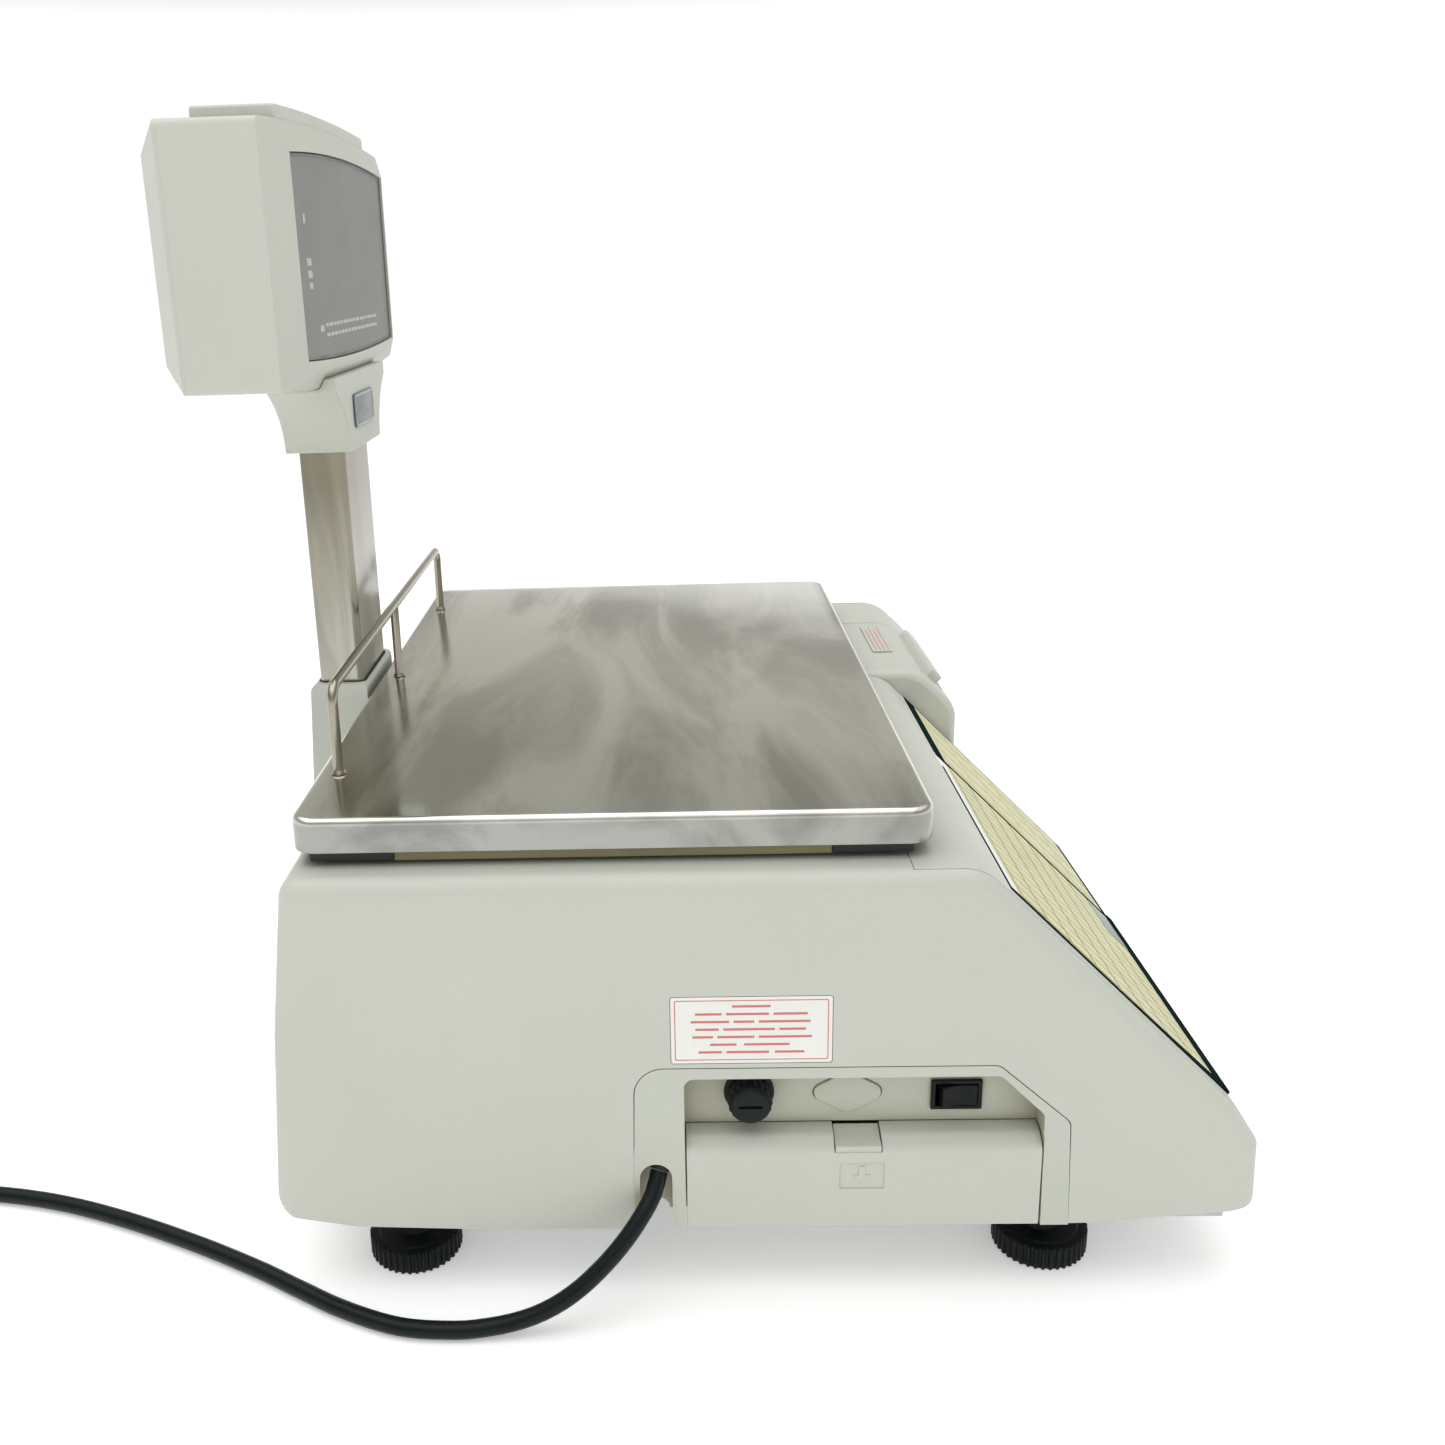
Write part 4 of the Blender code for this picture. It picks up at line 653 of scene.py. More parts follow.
def make_cord():
    straight = [CORD_EXIT + CORD_HEADING * 0.0004, CORD_EXIT + CORD_HEADING * 0.0095]
    turns = []
    for k in range(int(TURN_RADII[-1][0] / TURN_STEP) + 1):
        angle = TURN_STEP * k
        spoke = math.radians(180 - angle)
        radius, height = stepped(TURN_RADII, angle), stepped(TURN_HEIGHTS, angle)
        turns.append(COIL_CENTRE + Vector((radius * math.cos(spoke), radius * math.sin(spoke), height)))
    tail = [COIL_CENTRE + Vector(p) for p in TAIL_ROUTE]
    path, length = smooth_path(straight + CORD_ROUTE + turns + tail, 0.0045)
    cord = wire("mains_lead", path, CORD_RADIUS, 5)
    reveal(cord)
    cord.data.materials.append(LOOKS["cord"])
    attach(cord, "base")
    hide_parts("mains_cord", "cord_coil")
    relief_profile = [(0.0, 0.0265), (0.0046, 0.0265)]
    for k in range(7):
        low, size = 0.0232 - 0.0031 * k, 0.0046 - 0.0001 * k
        groove = size - 0.0008
        relief_profile += [(size, low + 0.0014), (groove, low + 0.0009), (groove, low), (size, low - 0.0004)]
    relief_profile += [(0.0039, 0.0012), (0.0037, 0.0), (0.0, 0.0)]
    relief = turned("relief", relief_profile, matrix=along(CORD_EXIT, -CORD_HEADING))
    show("cord_relief", relief, "base", "rubber", nodes=("strain_relief",))
    plug_end = tail[-1]
    heading = (tail[-1] - tail[-2]).normalized()
    grip = [(0.0, 0.057), (0.0095, 0.057), (0.0108, 0.0566), (0.0117, 0.0556), (0.012, 0.054), (0.012, 0.05)]
    for k in range(4):
        low = 0.0485 - 0.0036 * k
        grip += [(0.012, low), (0.0111, low - 0.0008), (0.0111, low - 0.0018), (0.012, low - 0.0026)]
    grip += [(0.0118, 0.034), (0.01, 0.03), (0.0083, 0.0275), (0.0068, 0.0235)]
    for k in range(5):
        low, size = 0.0215 - 0.0038 * k, 0.0061 - 0.0003 * k
        groove = size - 0.0009
        grip += [(size, low), (groove, low - 0.0007), (groove, low - 0.0021), (size - 0.0001, low - 0.0028)]
    grip += [(0.0042, 0.0015), (0.004, 0.0003), (0.0, 0.0003)]
    body = turned("plug_grip", grip, matrix=along(plug_end, heading))
    plug = show("plug_body", body, "base", "black_plastic", nodes=("mains_plug",))
    blades = []
    for number, across in enumerate((-0.0063, 0.0063)):
        outline = rounded(rectangle(-0.0032, 0.056, 0.0032, 0.074, 0.0, 0.0, 0.0012, 0.0012))
        blade = slab(f"blade_{number}", outline, "X", across - 0.00075, across + 0.00075, 0.0002, 1)
        blade.matrix_world = along(plug_end, heading)
        blades.append(settled(f"blade_set_{number}", blade))
    pins = show("plug_pins", joined("pins", *blades), "base", "steel", "stainless")
    tie_centre = COIL_CENTRE + Vector((0.0385, 0.0, 0.0107))
    tie_path = []
    for k in range(24):
        angle = 2 * math.pi * k / 24
        across, up = 0.0082 * math.cos(angle), 0.0114 * math.sin(angle)
        bulge = (abs(math.cos(angle)) ** 0.55, abs(math.sin(angle)) ** 0.55)
        tie_path.append((math.copysign(0.0081 * bulge[0], across), math.copysign(0.0113 * bulge[1], up)))
    band = slab("tie_band", tie_path, "Y", -0.0035, 0.0035, 0.0004, 2)
    band_room = slab("tie_room", [(a * 0.9, b * 0.93) for a, b in tie_path], "Y", -0.01, 0.01)
    band.matrix_world = band_room.matrix_world = Matrix.Translation((tie_centre.x, tie_centre.y, 0.0114))
    show("coil_tie", cut(band, band_room), "base", "rubber", "black_plastic")


# ---- housing
def slope_y(z):
    return SLOPE_TOP.y - (SLOPE_TOP.z - z) / math.tan(SLOPE_TILT)


SLOPE_FRAME = Matrix.Translation(SLOPE_TOP) @ Matrix.Rotation(SLOPE_TILT, 4, "X")


def slope_box(name, x_range, down_range, out_range, bevel=0.0, segments=2):
    low = (x_range[0], -down_range[1], out_range[0])
    high = (x_range[1], -down_range[0], out_range[1])
    return box(name, low, high, bevel, SLOPE_FRAME, segments)


REAR_AND_BASE = [
    (-0.2173, 0.044, 0.0), (-0.2175, 0.039, 0.003), (-0.2065, 0.036, 0.0), (-0.1525, 0.0312, 0.0),
    (-0.0965, BASE_Z, 0.0), (0.0855, BASE_Z, 0.0), (0.1425, 0.032, 0.0), (0.175, 0.0378, 0.009),
    (0.1685, 0.118, 0.0), (REAR_TOP_Y, TOP_Z, 0.008),
]
KEYPAD_SIDE = REAR_AND_BASE + [
    (slope_y(TOP_Z), TOP_Z, 0.018), (slope_y(0.0812), 0.0812, 0.01), (-0.2165, 0.065, 0.004),
]
PRINTER_ROUND = [(-0.1247, PRINTER_TOP_Z, 0.024), (BAY_FRONT_Y, 0.165, 0.016)]
PRINTER_SIDE = REAR_AND_BASE + [
    (-0.086, TOP_Z, 0.0), (-0.09, PRINTER_TOP_Z, 0.0), *PRINTER_ROUND, (BAY_FRONT_Y, BAY_FLOOR_Z, 0.003),
    (-0.2165, 0.049, 0.002),
]
PANEL_CORNERS = [
    (-0.1435, 0.0303, 0.0), (0.0295, 0.0303, 0.0), (0.0275, 0.1032, 0.0115), (-0.113, 0.103, 0.005),
    (-0.1415, 0.0775, 0.005),
]
POCKET_CORNERS = [
    (-0.1325, 0.028, 0.0), (0.0085, 0.028, 0.0), (0.0085, 0.0985, 0.004), (-0.114, 0.0985, 0.004),
    (-0.1315, 0.081, 0.004),
]


def body_block(name, corners, from_x, to_x, rounding):
    """A side section drawn out along X, with a rounded edge at to_x."""
    outward = 1 if to_x > from_x else -1
    rings = [(from_x, 0.0)] + [(to_x - outward * short, back) for back, short in quarter(8, rounding)]
    return loft(name, [[(x, y, z) for y, z in rounded(inset(corners, depth, 0.0))] for x, depth in rings])


def body_shell():
    """The hollow body that the housing, fascia, printer cover and lid are cut from."""
    left = body_block("body_left", KEYPAD_SIDE, BAY_X + 0.001, -HALF_WIDTH, 0.007)
    right = body_block("body_right", PRINTER_SIDE, BAY_X, HALF_WIDTH, 0.003)
    inner = HALF_WIDTH - WALL
    left_room = slab("room_left", rounded(inset(KEYPAD_SIDE, WALL)), "X", -inner, BAY_X - 0.002)
    right_room = slab("room_right", rounded(inset(PRINTER_SIDE, WALL)), "X", BAY_X + 0.003, inner)
    passage = box("room_passage", (0.04, -0.098, 0.034), (0.05, 0.15, 0.1805))
    passage_low = box("room_passage_low", (0.04, -0.1425, 0.034), (0.05, -0.09, 0.136))
    base_opening = box("base_opening", (-inner, -0.206, 0.02), (inner, 0.15, 0.052))
    add(left, right)
    return settled("body_shell", cut(left, left_room, right_room, passage, passage_low, base_opening))


COVER_EDGE = 0.0045


def cover_edge_cutter():
    """What the rounded left edge of the printer cover leaves away."""
    corners = [(-0.2, 0.06, 0.0), (-0.05, 0.06, 0.0), (-0.05, PRINTER_TOP_Z, 0.0), *PRINTER_ROUND,
               (BAY_FRONT_Y, 0.09, 0.0), (-0.2, 0.09, 0.0)]
    rings = [(BAY_X + back, short) for back, short in quarter(8, COVER_EDGE)]
    rings[0] = (BAY_X - 0.002, rings[0][1])
    end = loft("cover_end", [[(x, y, z) for y, z in rounded(inset(corners, depth))] for x, depth in rings])
    cutter = box("cover_edge", (BAY_X - 0.001, -0.16, 0.108), (BAY_X + COVER_EDGE - 0.0001, -0.0945, 0.195))
    return cut(cutter, end)


def make_housing():
    shell = body_shell()

    def copy_of(name):
        return place(name, shell.data.copy())

    housing = copy_of("housing_work")
    front_room = box("front_room", (-0.2, -0.23, 0.02), (0.2, SEAM_Y + GAP, 0.2))
    pole_slot = box("pole_slot", (POLE_X - 0.0325, 0.1593, 0.02), (POLE_X + 0.0325, 0.2, 0.2))
    load_hole = slab("load_hole", rounded(rectangle(0.034, 0.01, 0.086, 0.059, 0.006)), "Z", 0.17, 0.19)
    hole_outline = [(y, z - 0.01 if z < 0.04 else z, r) for y, z, r in inset(PANEL_CORNERS, -0.0004)]
    panel_hole = slab("panel_hole", rounded(hole_outline), "X", -0.21, -0.2)
    label_field = slab("label_field", rounded(rectangle(-0.049, 0.1054, 0.0134, 0.1346, 0.0012)), "X",
                       -0.21, PANEL_X + 0.0006)
    cut(housing, front_room, pole_slot, load_hole, panel_hole, label_field)
    show("housing_skin", housing, "base", "housing", nodes=("housing_shell",), soften=0.0004)

    fascia = copy_of("fascia_work")
    keypad_zone = box("keypad_zone", (-SIDE_LIP, -0.23, 0.02), (BAY_X - GAP, SEAM_Y, 0.2))
    bay_zone = box("bay_zone", (-SIDE_LIP, -0.23, 0.02), (SIDE_LIP, BAY_FRONT_Y - GAP, 0.2))
    shelf_zone = box("shelf_zone", (0.03, -0.2, 0.02), (SIDE_LIP, -0.142, BAY_FLOOR_Z - 0.002))
    recess = slope_box("keypad_recess", (-0.1964, 0.044), (0.0006, 0.1294), (-0.001, 0.01))
    keep(fascia, settled("fascia_zone", add(keypad_zone, bay_zone, shelf_zone)))
    show("fascia_skin", cut(fascia, recess), "base", "housing", nodes=("front_fascia",), soften=0.0003)

    cover = copy_of("cover_work")
    cover_zone = box("cover_zone", (BAY_X, BAY_FRONT_Y - 0.0001, BAY_FLOOR_Z - 0.0015), (SIDE_LIP, SEAM_Y, 0.2))
    lid_zone = box("lid_zone", (LID_LEFT, -0.14, 0.15), (LID_RIGHT, LID_AXIS[0], 0.2))
    lid_room = box("lid_room", (LID_LEFT - GAP, -0.14 - GAP, 0.15), (LID_RIGHT + GAP, LID_AXIS[0] + GAP, 0.2))
    outlet = box("label_outlet", (0.068, -0.15, 0.15), (0.134, -0.14, 0.156))
    keep(cover, cover_zone)
    cut(cover, lid_room, outlet, cover_edge_cutter())
    show("printer_cover_skin", cover, "base", "housing", nodes=("printer_cover",), soften=0.0004)

    lid = copy_of("lid_work")
    lip_at = Matrix.Translation((0.0, -0.1352, 0.1765)) @ Matrix.Rotation(math.radians(44.0), 4, "X")
    lip = box("lid_lip", (LID_LEFT + 0.002, -0.0042, -0.003), (LID_RIGHT - 0.002, 0.0042, 0.0042), 0.0012, lip_at)
    keep(lid, lid_zone)
    show("printer_lid_skin", add(lid, lip), "printer_lid", "housing", nodes=("printer_lid",), soften=0.0005)


# ---- side panel and its recess
def diamond(grow):
    """The calibration cover's outline, larger by grow."""
    y, z = CAL_CENTRE
    wide, high = 0.0176 + grow, 0.0098 + grow
    return rounded([(y - wide, z, 0.004), (y, z - high, 0.005), (y + wide, z, 0.004), (y, z + high, 0.005)])


def side_block(name, centre, x_range, half, bevel=0.0):
    """A block on the side panel: half is its half width and half height about centre."""
    (y, z), (half_y, half_z) = centre, half
    return box(name, (x_range[0], y - half_y, z - half_z), (x_range[1], y + half_y, z + half_z), bevel)


def make_side_panel():
    panel = slab("panel_sheet", rounded(PANEL_CORNERS), "X", PANEL_X, PANEL_X + 0.0026)
    rim = [(y, max(z, 0.031), r) for y, z, r in inset(POCKET_CORNERS, -0.002)]
    pocket_walls = slab("pocket_walls", rounded(rim), "X", PANEL_X + 0.0005, POCKET_X + 0.002)
    case = box("compartment_case", (-0.204, -0.1345, 0.0358), (-0.16, 0.0105, 0.0735))
    groove_block = box("groove_block", (-0.2045, 0.01, 0.031), (-0.18, 0.028, 0.0655))
    pocket = slab("pocket_room", rounded(POCKET_CORNERS), "X", -0.21, POCKET_X)
    room = box("compartment_room", (-0.21, -0.132, 0.038), (-0.162, 0.008, 0.0712))
    y, half = NOTCH_Y, 0.0064
    notch = rectangle(y - half, 0.02, y + half, 0.06, 0.0, 0.0, 0.0063, 0.0063)
    groove = slab("groove", rounded(notch), "X", -0.21, -0.1935)
    groove_mouth = disc("groove_mouth", (y, 0.031), "X", 0.0052, -0.196, -0.17)
    gland_hole = disc("gland_hole", (0.0, 0.0), "Z", 0.0049, -0.01, 0.04)
    gland_hole.matrix_world = along(CORD_EXIT, -CORD_HEADING)
    add(panel, pocket_walls, case, groove_block)
    cut(panel, pocket, room, groove, groove_mouth, gland_hole)
    cut(panel, side_block("switch_hole", SWITCH_CENTRE, (-0.2, -0.185), (0.0096, 0.0061)))
    cut(panel, disc("fuse_hole", FUSE_CENTRE, "X", 0.0078, -0.2, -0.185))
    cut(panel, slab("calibration_hole", diamond(0.0003), "X", -0.2, -0.185))
    show("side_panel_skin", panel, "base", "housing", "housing_aged_and_shaded", ("side_panel",), soften=0.0005)

    section = [(-0.2025, 0.0305, 0.0), (-0.2025, 0.065, 0.003), (-0.1932, 0.0686, 0.0), (-0.1932, 0.0711, 0.0002),
               (-0.1995, 0.0702, 0.006), (-0.205, 0.066, 0.005), (-0.205, 0.0305, 0.0008)]
    cover = slab("cover_sheet", rounded(section), "Y", -0.1315, 0.0079)
    cut(cover, box("latch_slot", (-0.21, -0.0692, 0.0645), (-0.19, -0.0504, 0.08)))
    field = rounded(rectangle(-0.0701, 0.048, -0.0525, 0.06, 0.0008))
    cut(cover, slab("arrow_field", field, "X", -0.21, -0.2046))
    tongue = [(-0.2046, 0.06, 0.0), (-0.2046, 0.0655, 0.0), (-0.205, 0.0672, 0.0006), (-0.199, 0.0684, 0.004),
              (-0.1936, 0.0702, 0.0), (-0.1936, 0.0686, 0.0), (-0.2022, 0.0652, 0.0), (-0.203, 0.06, 0.0)]
    add(cover, slab("latch_tongue", rounded(tongue), "Y", -0.0688, -0.0508))
    arrow = [(-0.0625, 0.0505), (-0.0601, 0.0505), (-0.0601, 0.0545), (-0.0578, 0.0545), (-0.0613, 0.0582),
             (-0.0648, 0.0545), (-0.0625, 0.0545)]
    arrow = [(y, 0.1087 - z) for y, z in arrow][::-1]
    add(cover, slab("arrow", arrow, "X", -0.2049, -0.2044))
    show("recess_cover", cover, "compartment_cover", "housing", None, ("compartment_cover",), soften=0.00035)

    y, z = SWITCH_CENTRE
    case = side_block("switch_case", SWITCH_CENTRE, (-0.1946, POCKET_X - GAP), (0.0101, 0.0066), 0.0005)
    add(case, side_block("switch_barrel", SWITCH_CENTRE, (-0.194, -0.178), (0.0093, 0.0058)))
    cut(case, side_block("rocker_well", SWITCH_CENTRE, (-0.2, -0.185), (0.0083, 0.005)))
    show("switch_frame", case, "base", "black_plastic", nodes=("switch_housing",), soften=0.0002)
    tilt = math.radians(-9)
    points = []
    face = [(0.006, 0.007), (0.0052, 0.0045), (0.0047, 0.002), (0.0046, 0.0), (0.0047, -0.002),
            (0.0052, -0.0045), (0.006, -0.007)]
    for out, across in face + [(0.001, -0.007), (-0.0025, -0.0025), (-0.0025, 0.0025), (0.001, 0.007)]:
        points.append((-0.1905 - (out * math.cos(tilt) - across * math.sin(tilt)),
                       y + out * math.sin(tilt) + across * math.cos(tilt)))
    rocker = slab("rocker", points, "Z", z - 0.0046, z + 0.0046, 0.0003, 2)
    show("switch_rocker", rocker, "power_rocker", "black_plastic", nodes=("power_rocker",))

    y, z = FUSE_CENTRE
    at = (0.0, y, z)
    holder = turned("holder", [(0.01, -0.1933), (0.0075, -0.1933), (0.0075, -0.165), (0.0038, -0.165),
                    (0.0038, -0.1945), (0.0092, -0.1945), (0.0098, -0.1942), (0.01, -0.1938)], at, 64, "X")
    show("fuse_socket", holder, "base", "black_plastic", nodes=("fuse_holder",))
    ridged = wheel(y, z, 144, lambda angle: 0.0083 + 0.0005 * (0.5 + 0.5 * math.cos(angle * 18)))
    cap = slab("cap_body", ridged, "X", -0.202, -0.1948, 0.0003, 2)
    nose = [(0.0, -0.201), (0.0083, -0.201), (0.0083, -0.2022), (0.0079, -0.2034), (0.007, -0.2042),
            (0.0058, -0.2044), (0.0, -0.2044)]
    add(cap, turned("cap_nose", nose, at, 64, "X"))
    cut(cap, side_block("cap_slot", FUSE_CENTRE, (-0.205, -0.2034), (0.0046, 0.0007)))
    cut(cap, disc("cap_socket", FUSE_CENTRE, "X", 0.0034, -0.1998, -0.19))
    show("fuse_cap_ribbed", cap, "fuse_cap", "black_plastic", nodes=("fuse_cap",))

    cover = slab("diamond", diamond(0.0), "X", -0.1938, -0.1912, 0.0005, 3)
    show("diamond_cover", cover, "calibration_cover", "housing", "housing_aged_and_shaded", ("calibration_cover",))


# Where the generic bars that stand for the side label's printing start and end, as shares of a row, row by row
LABEL_ROWS = (
    [(0.37, 0.63)], [(0.12, 0.3), (0.33, 0.62), (0.65, 0.88)], [(0.09, 0.35), (0.38, 0.52), (0.55, 0.9)],
    [(0.12, 0.28), (0.31, 0.66), (0.69, 0.87)], [(0.1, 0.24), (0.27, 0.52), (0.55, 0.91)],
    [(0.22, 0.4), (0.45, 0.76)], [(0.14, 0.3), (0.33, 0.62), (0.66, 0.86)],
)
LABEL_LEFT, LABEL_RIGHT = -0.0105, 0.046
LABEL_TOP_Z, LABEL_ROW = 0.1308, 0.0033


def label_bars(x):
    bars = []
    for row, spans in enumerate(LABEL_ROWS):
        for start, end in spans:
            a, b = (LABEL_LEFT + (LABEL_RIGHT - LABEL_LEFT) * share for share in (start, end))
            high = LABEL_TOP_Z - LABEL_ROW * row
            low = high - LABEL_ROW * 0.3
            bars.append(box(f"bar_{row}_{len(bars)}", (x - 0.00004, -b, low), (x + 0.0001, -a, high)))
    return joined("bars", *bars)


def make_labels():
    x = PANEL_X
    sheet = slab("label_sheet", rounded(rectangle(-0.0487, 0.1057, 0.0131, 0.1343, 0.001)), "X", x, x + 0.0003)
    outer = rounded(rectangle(-0.0473, 0.107, 0.0117, 0.133, 0.0008))
    inner = rounded(rectangle(-0.0469, 0.1074, 0.0113, 0.1326, 0.0006))
    show("side_label", sheet, "base", "label", nodes=("safety_label",))
    border = slab("label_border", outer, "X", x - 0.00004, x + 0.0001)
    cut(border, slab("label_border_room", inner, "X", x - 0.001, x + 0.001))
    printing = joined("label_print", settled("border_made", border), label_bars(x))
    show("side_label_print", printing, "base", "label", "label_red")

    low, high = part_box("lid_label")
    top = high.z
    sheet = slab("lid_sheet", rounded(rectangle(low.x, low.y, high.x, high.y, 0.001)), "Z", low.z, top)
    show("lid_label_sheet", sheet, "printer_lid", "label", "housing", ("lid_label",))
    lines = [box(f"lid_line_{k}", (low.x + 0.003, low.y + 0.0014 + 0.0024 * k, top - 0.0001),
             (high.x - 0.003 - 0.006 * (k % 2), low.y + 0.0019 + 0.0024 * k, top + 0.00003)) for k in range(4)]
    show("lid_label_print", joined("lid_lines", *lines), "printer_lid", "label", "label_red")


# ---- keypads
def slope_slab(name, corners, low, high):
    """A flat shape on the slope: corners across and down, raised from low to high."""
    made = slab(name, [(x, -down) for x, down in corners], "Z", low, high)
    made.data.transform(SLOPE_FRAME)
    return made


def key_grid(name, across, down, columns, rows, gap, skip=()):
    """Low keys in a grid on the slope, without the (column, row) places in skip."""
    wide, deep = (across[1] - across[0]) / columns, (down[1] - down[0]) / rows
    keys = []
    for column in range(columns):
        for row in range(rows):
            if (column, row) in skip:
                continue
            x, y = across[0] + wide * column, down[0] + deep * row
            keys.append(slope_box(f"{name}_{column}_{row}", (x + gap, x + wide - gap), (y + gap, y + deep - gap),
                                  (0.0004, 0.0008), 0.0003, 2))
    return keys


def make_keypads():
    """Membrane films in the slope's recess, with low keys and raised borders."""
    near = slope_box("near_film", (-0.196, -0.047), (0.001, 0.129), (-0.0007, 0.0003))
    show("near_keypad_film", near, "base", "keypad_film", "keypad_white", ("speed_keypad",), soften=0.0002)
    far = slope_box("far_film", (-0.0464, 0.0436), (0.001, 0.129), (-0.0007, 0.0003))
    show("far_keypad_film", far, "base", "keypad_film", "keypad_white", ("function_keypad",), soften=0.0002)
    field = slope_box("near_field", (-0.1915, -0.0505), (0.009, 0.1235), (0.0003, 0.00045), 0.0001, 1)
    skip = {(column, 7) for column in (9, 10, 11, 12)}
    keys = key_grid("key", (-0.1908, -0.0512), (0.01, 0.123), 13, 8, 0.0006, skip)
    show("near_keys", joined("keys", field, *keys), "base", "keypad_film", "keypad_film")
    grey = slope_box("grey_key", (-0.085, -0.0512), (0.11, 0.1235), (0.0004, 0.0008), 0.0003, 2)
    show("grey_keys", grey, "base", "keypad_film", "keypad_grey")
    cream = slope_box("far_field", (-0.0436, 0.0402), (0.01, 0.124), (0.0003, 0.0006), 0.0002, 1)
    far_set = key_grid("far_key", (-0.042, 0.0386), (0.012, 0.1225), 4, 6, 0.0016)
    show("far_keys", joined("far_key_set", cream, *far_set), "base", "keypad_film", "keypad_film")
    lift = (0.0002, 0.0005)
    widening = [(-0.1955, 0.1285), (-0.1955, 0.0018), (-0.194, 0.0018), (-0.1938, 0.07), (-0.1885, 0.1285)]
    lines = [
        slope_box("line_top", (-0.195, -0.064), (0.0018, 0.0034), lift),
        slope_slab("line_near", widening, 0.0002, 0.0009),
        slope_box("line_low", (-0.1955, -0.048), (0.1245, 0.1285), (0.0002, 0.0016), 0.0004),
        slope_box("line_divider", (-0.0492, -0.0476), (0.0018, 0.1285), lift),
        slope_box("line_divider_far", (-0.046, -0.0446), (0.0018, 0.1285), lift),
        slope_box("line_far", (0.041, 0.0432), (0.0018, 0.1285), lift),
        slope_box("line_far_top", (-0.0455, 0.0432), (0.0014, 0.0095), lift),
        slope_box("line_far_low", (-0.0455, 0.0432), (0.1245, 0.1285), lift),
    ]
    show("keypad_lines", joined("lines", *lines), "base", "keypad_film", "keypad_border")


# ---- weighing platter
def make_platter():
    half_x, half_y = 0.191, 0.123
    low = PLATTER_Z - 0.014
    sheet, edge, inner_edge = 0.0012, 0.0025, 0.0022
    corner, inner_corner = 0.01, 0.0088

    def plan(shrink, radius, z):
        x, y = half_x - shrink, half_y - shrink
        ring = rounded(rectangle(-x, PLATTER_Y - y, x, PLATTER_Y + y, radius), math.radians(6))
        return [(a, b, z) for a, b in ring]

    rings = [plan(0.0, corner, low), plan(0.0, corner, PLATTER_Z - edge)]
    rings += [plan(back, corner - back, PLATTER_Z - short) for back, short in quarter(8, edge, 1)]
    platter = loft("platter_outer", rings)
    room = [plan(sheet, inner_corner, low - 0.01), plan(sheet, inner_corner, PLATTER_Z - sheet - inner_edge)]
    room += [plan(sheet + back, inner_corner - back, PLATTER_Z - sheet - short)
             for back, short in quarter(4, inner_edge, 1)]
    cut(platter, loft("platter_room", room))
    show("platter_sheet", platter, "platter", "stainless", "platter_steel", ("platter",), soften=0.00025)


def make_guard_rail():
    rail_y, radius = 0.148, 0.0022
    left, right, bend = -0.1415, 0.137, 0.007
    top, foot = 0.241, PLATTER_Z + GAP
    path = [Vector((left, rail_y, foot)), Vector((left, rail_y, top - 2 * bend))]
    angles = [math.pi / 2 * k / 12 for k in range(13)]
    arc = [(bend * math.cos(angle), bend * math.sin(angle)) for angle in angles]
    path += [Vector((left + bend - a, rail_y, top - bend + b)) for a, b in arc]
    path += [Vector((right - bend + b, rail_y, top - bend + a)) for a, b in arc]
    path += [Vector((right, rail_y, top - 2 * bend)), Vector((right, rail_y, foot))]
    bar = settled("rail_bar", wire("rail", path, radius, 6))
    post = [(0.0, foot), (0.003, foot), (0.0026, foot + 0.0008), (0.0021, foot + 0.0018),
            (0.0021, top - 0.001), (0.0, top - 0.001)]
    add(bar, turned("rail_post", post, (-0.002, rail_y, 0.0), 32))
    weld = [(0.0, foot), (0.0031, foot), (0.0027, foot + 0.0008), (0.0022, foot + 0.0016), (0.0, foot + 0.0016)]
    add(bar, *[turned(f"rail_weld_{x}", weld, (x, rail_y, 0.0), 32) for x in (left, right)])
    show("goods_rail", bar, "platter", "stainless", nodes=("guard_rail",), sharp=40.0)


def make_under_platter():
    """The carrier under the platter, with its blocks and cushions."""
    y = PLATTER_Y
    frame_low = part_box("weigh_frame")[0].z
    frame = box("carrier_plate", (-0.06, y - 0.09, 0.189), (0.08, y + 0.09, 0.1945), 0.001)
    reach = 0.1893
    rear = box("carrier_rear", (-reach, y + 0.083, 0.186), (reach, y + 0.116, 0.196), 0.0008)
    front = box("carrier_front", (-reach, y - 0.115, 0.186), (reach, y - 0.084, 0.196), 0.0008)
    post = box("carrier_post", (0.045, y - 0.0145, frame_low), (0.075, y + 0.0145, 0.19), 0.0008)
    add(frame, rear, front, post)
    ribs = []
    for x in (-0.1, -0.02, 0.11):
        ribs.append(box(f"carrier_rib_{x}", (x, y - 0.096, 0.188), (x + 0.004, y + 0.096, 0.1935), 0.0006))
    add(frame, *ribs)
    show("platter_carrier", frame, "weigh_platform", "frame_casting", nodes=("weigh_frame",))
    rails = [box(f"carrier_side_{x}", (x - 0.0016, y - 0.0842, 0.1858), (x + 0.0016, y + 0.0832, 0.195), 0.0004)
             for x in (0.0022 - reach, reach - 0.0022)]
    show("carrier_side_rails", joined("side_rails", *rails), "weigh_platform", "frame_casting", "inside_tan")
    profile = [(0.0, 0.0062), (0.006, 0.0062), (0.0072, 0.0058), (0.0084, 0.0048), (0.0092, 0.003), (0.0095, 0.0),
               (0.0, 0.0)]
    for side, x in (("left", -0.172), ("right", 0.172)):
        for end, across in (("front", y - 0.098), ("rear", y + 0.1)):
            pad = turned(f"pad_{end}_{side}", profile, (x, across, 0.1963), 40)
            show(f"pad_{end}_{side}_soft", pad, "weigh_platform", "rubber", nodes=(f"cushion_{end}_{side}",))


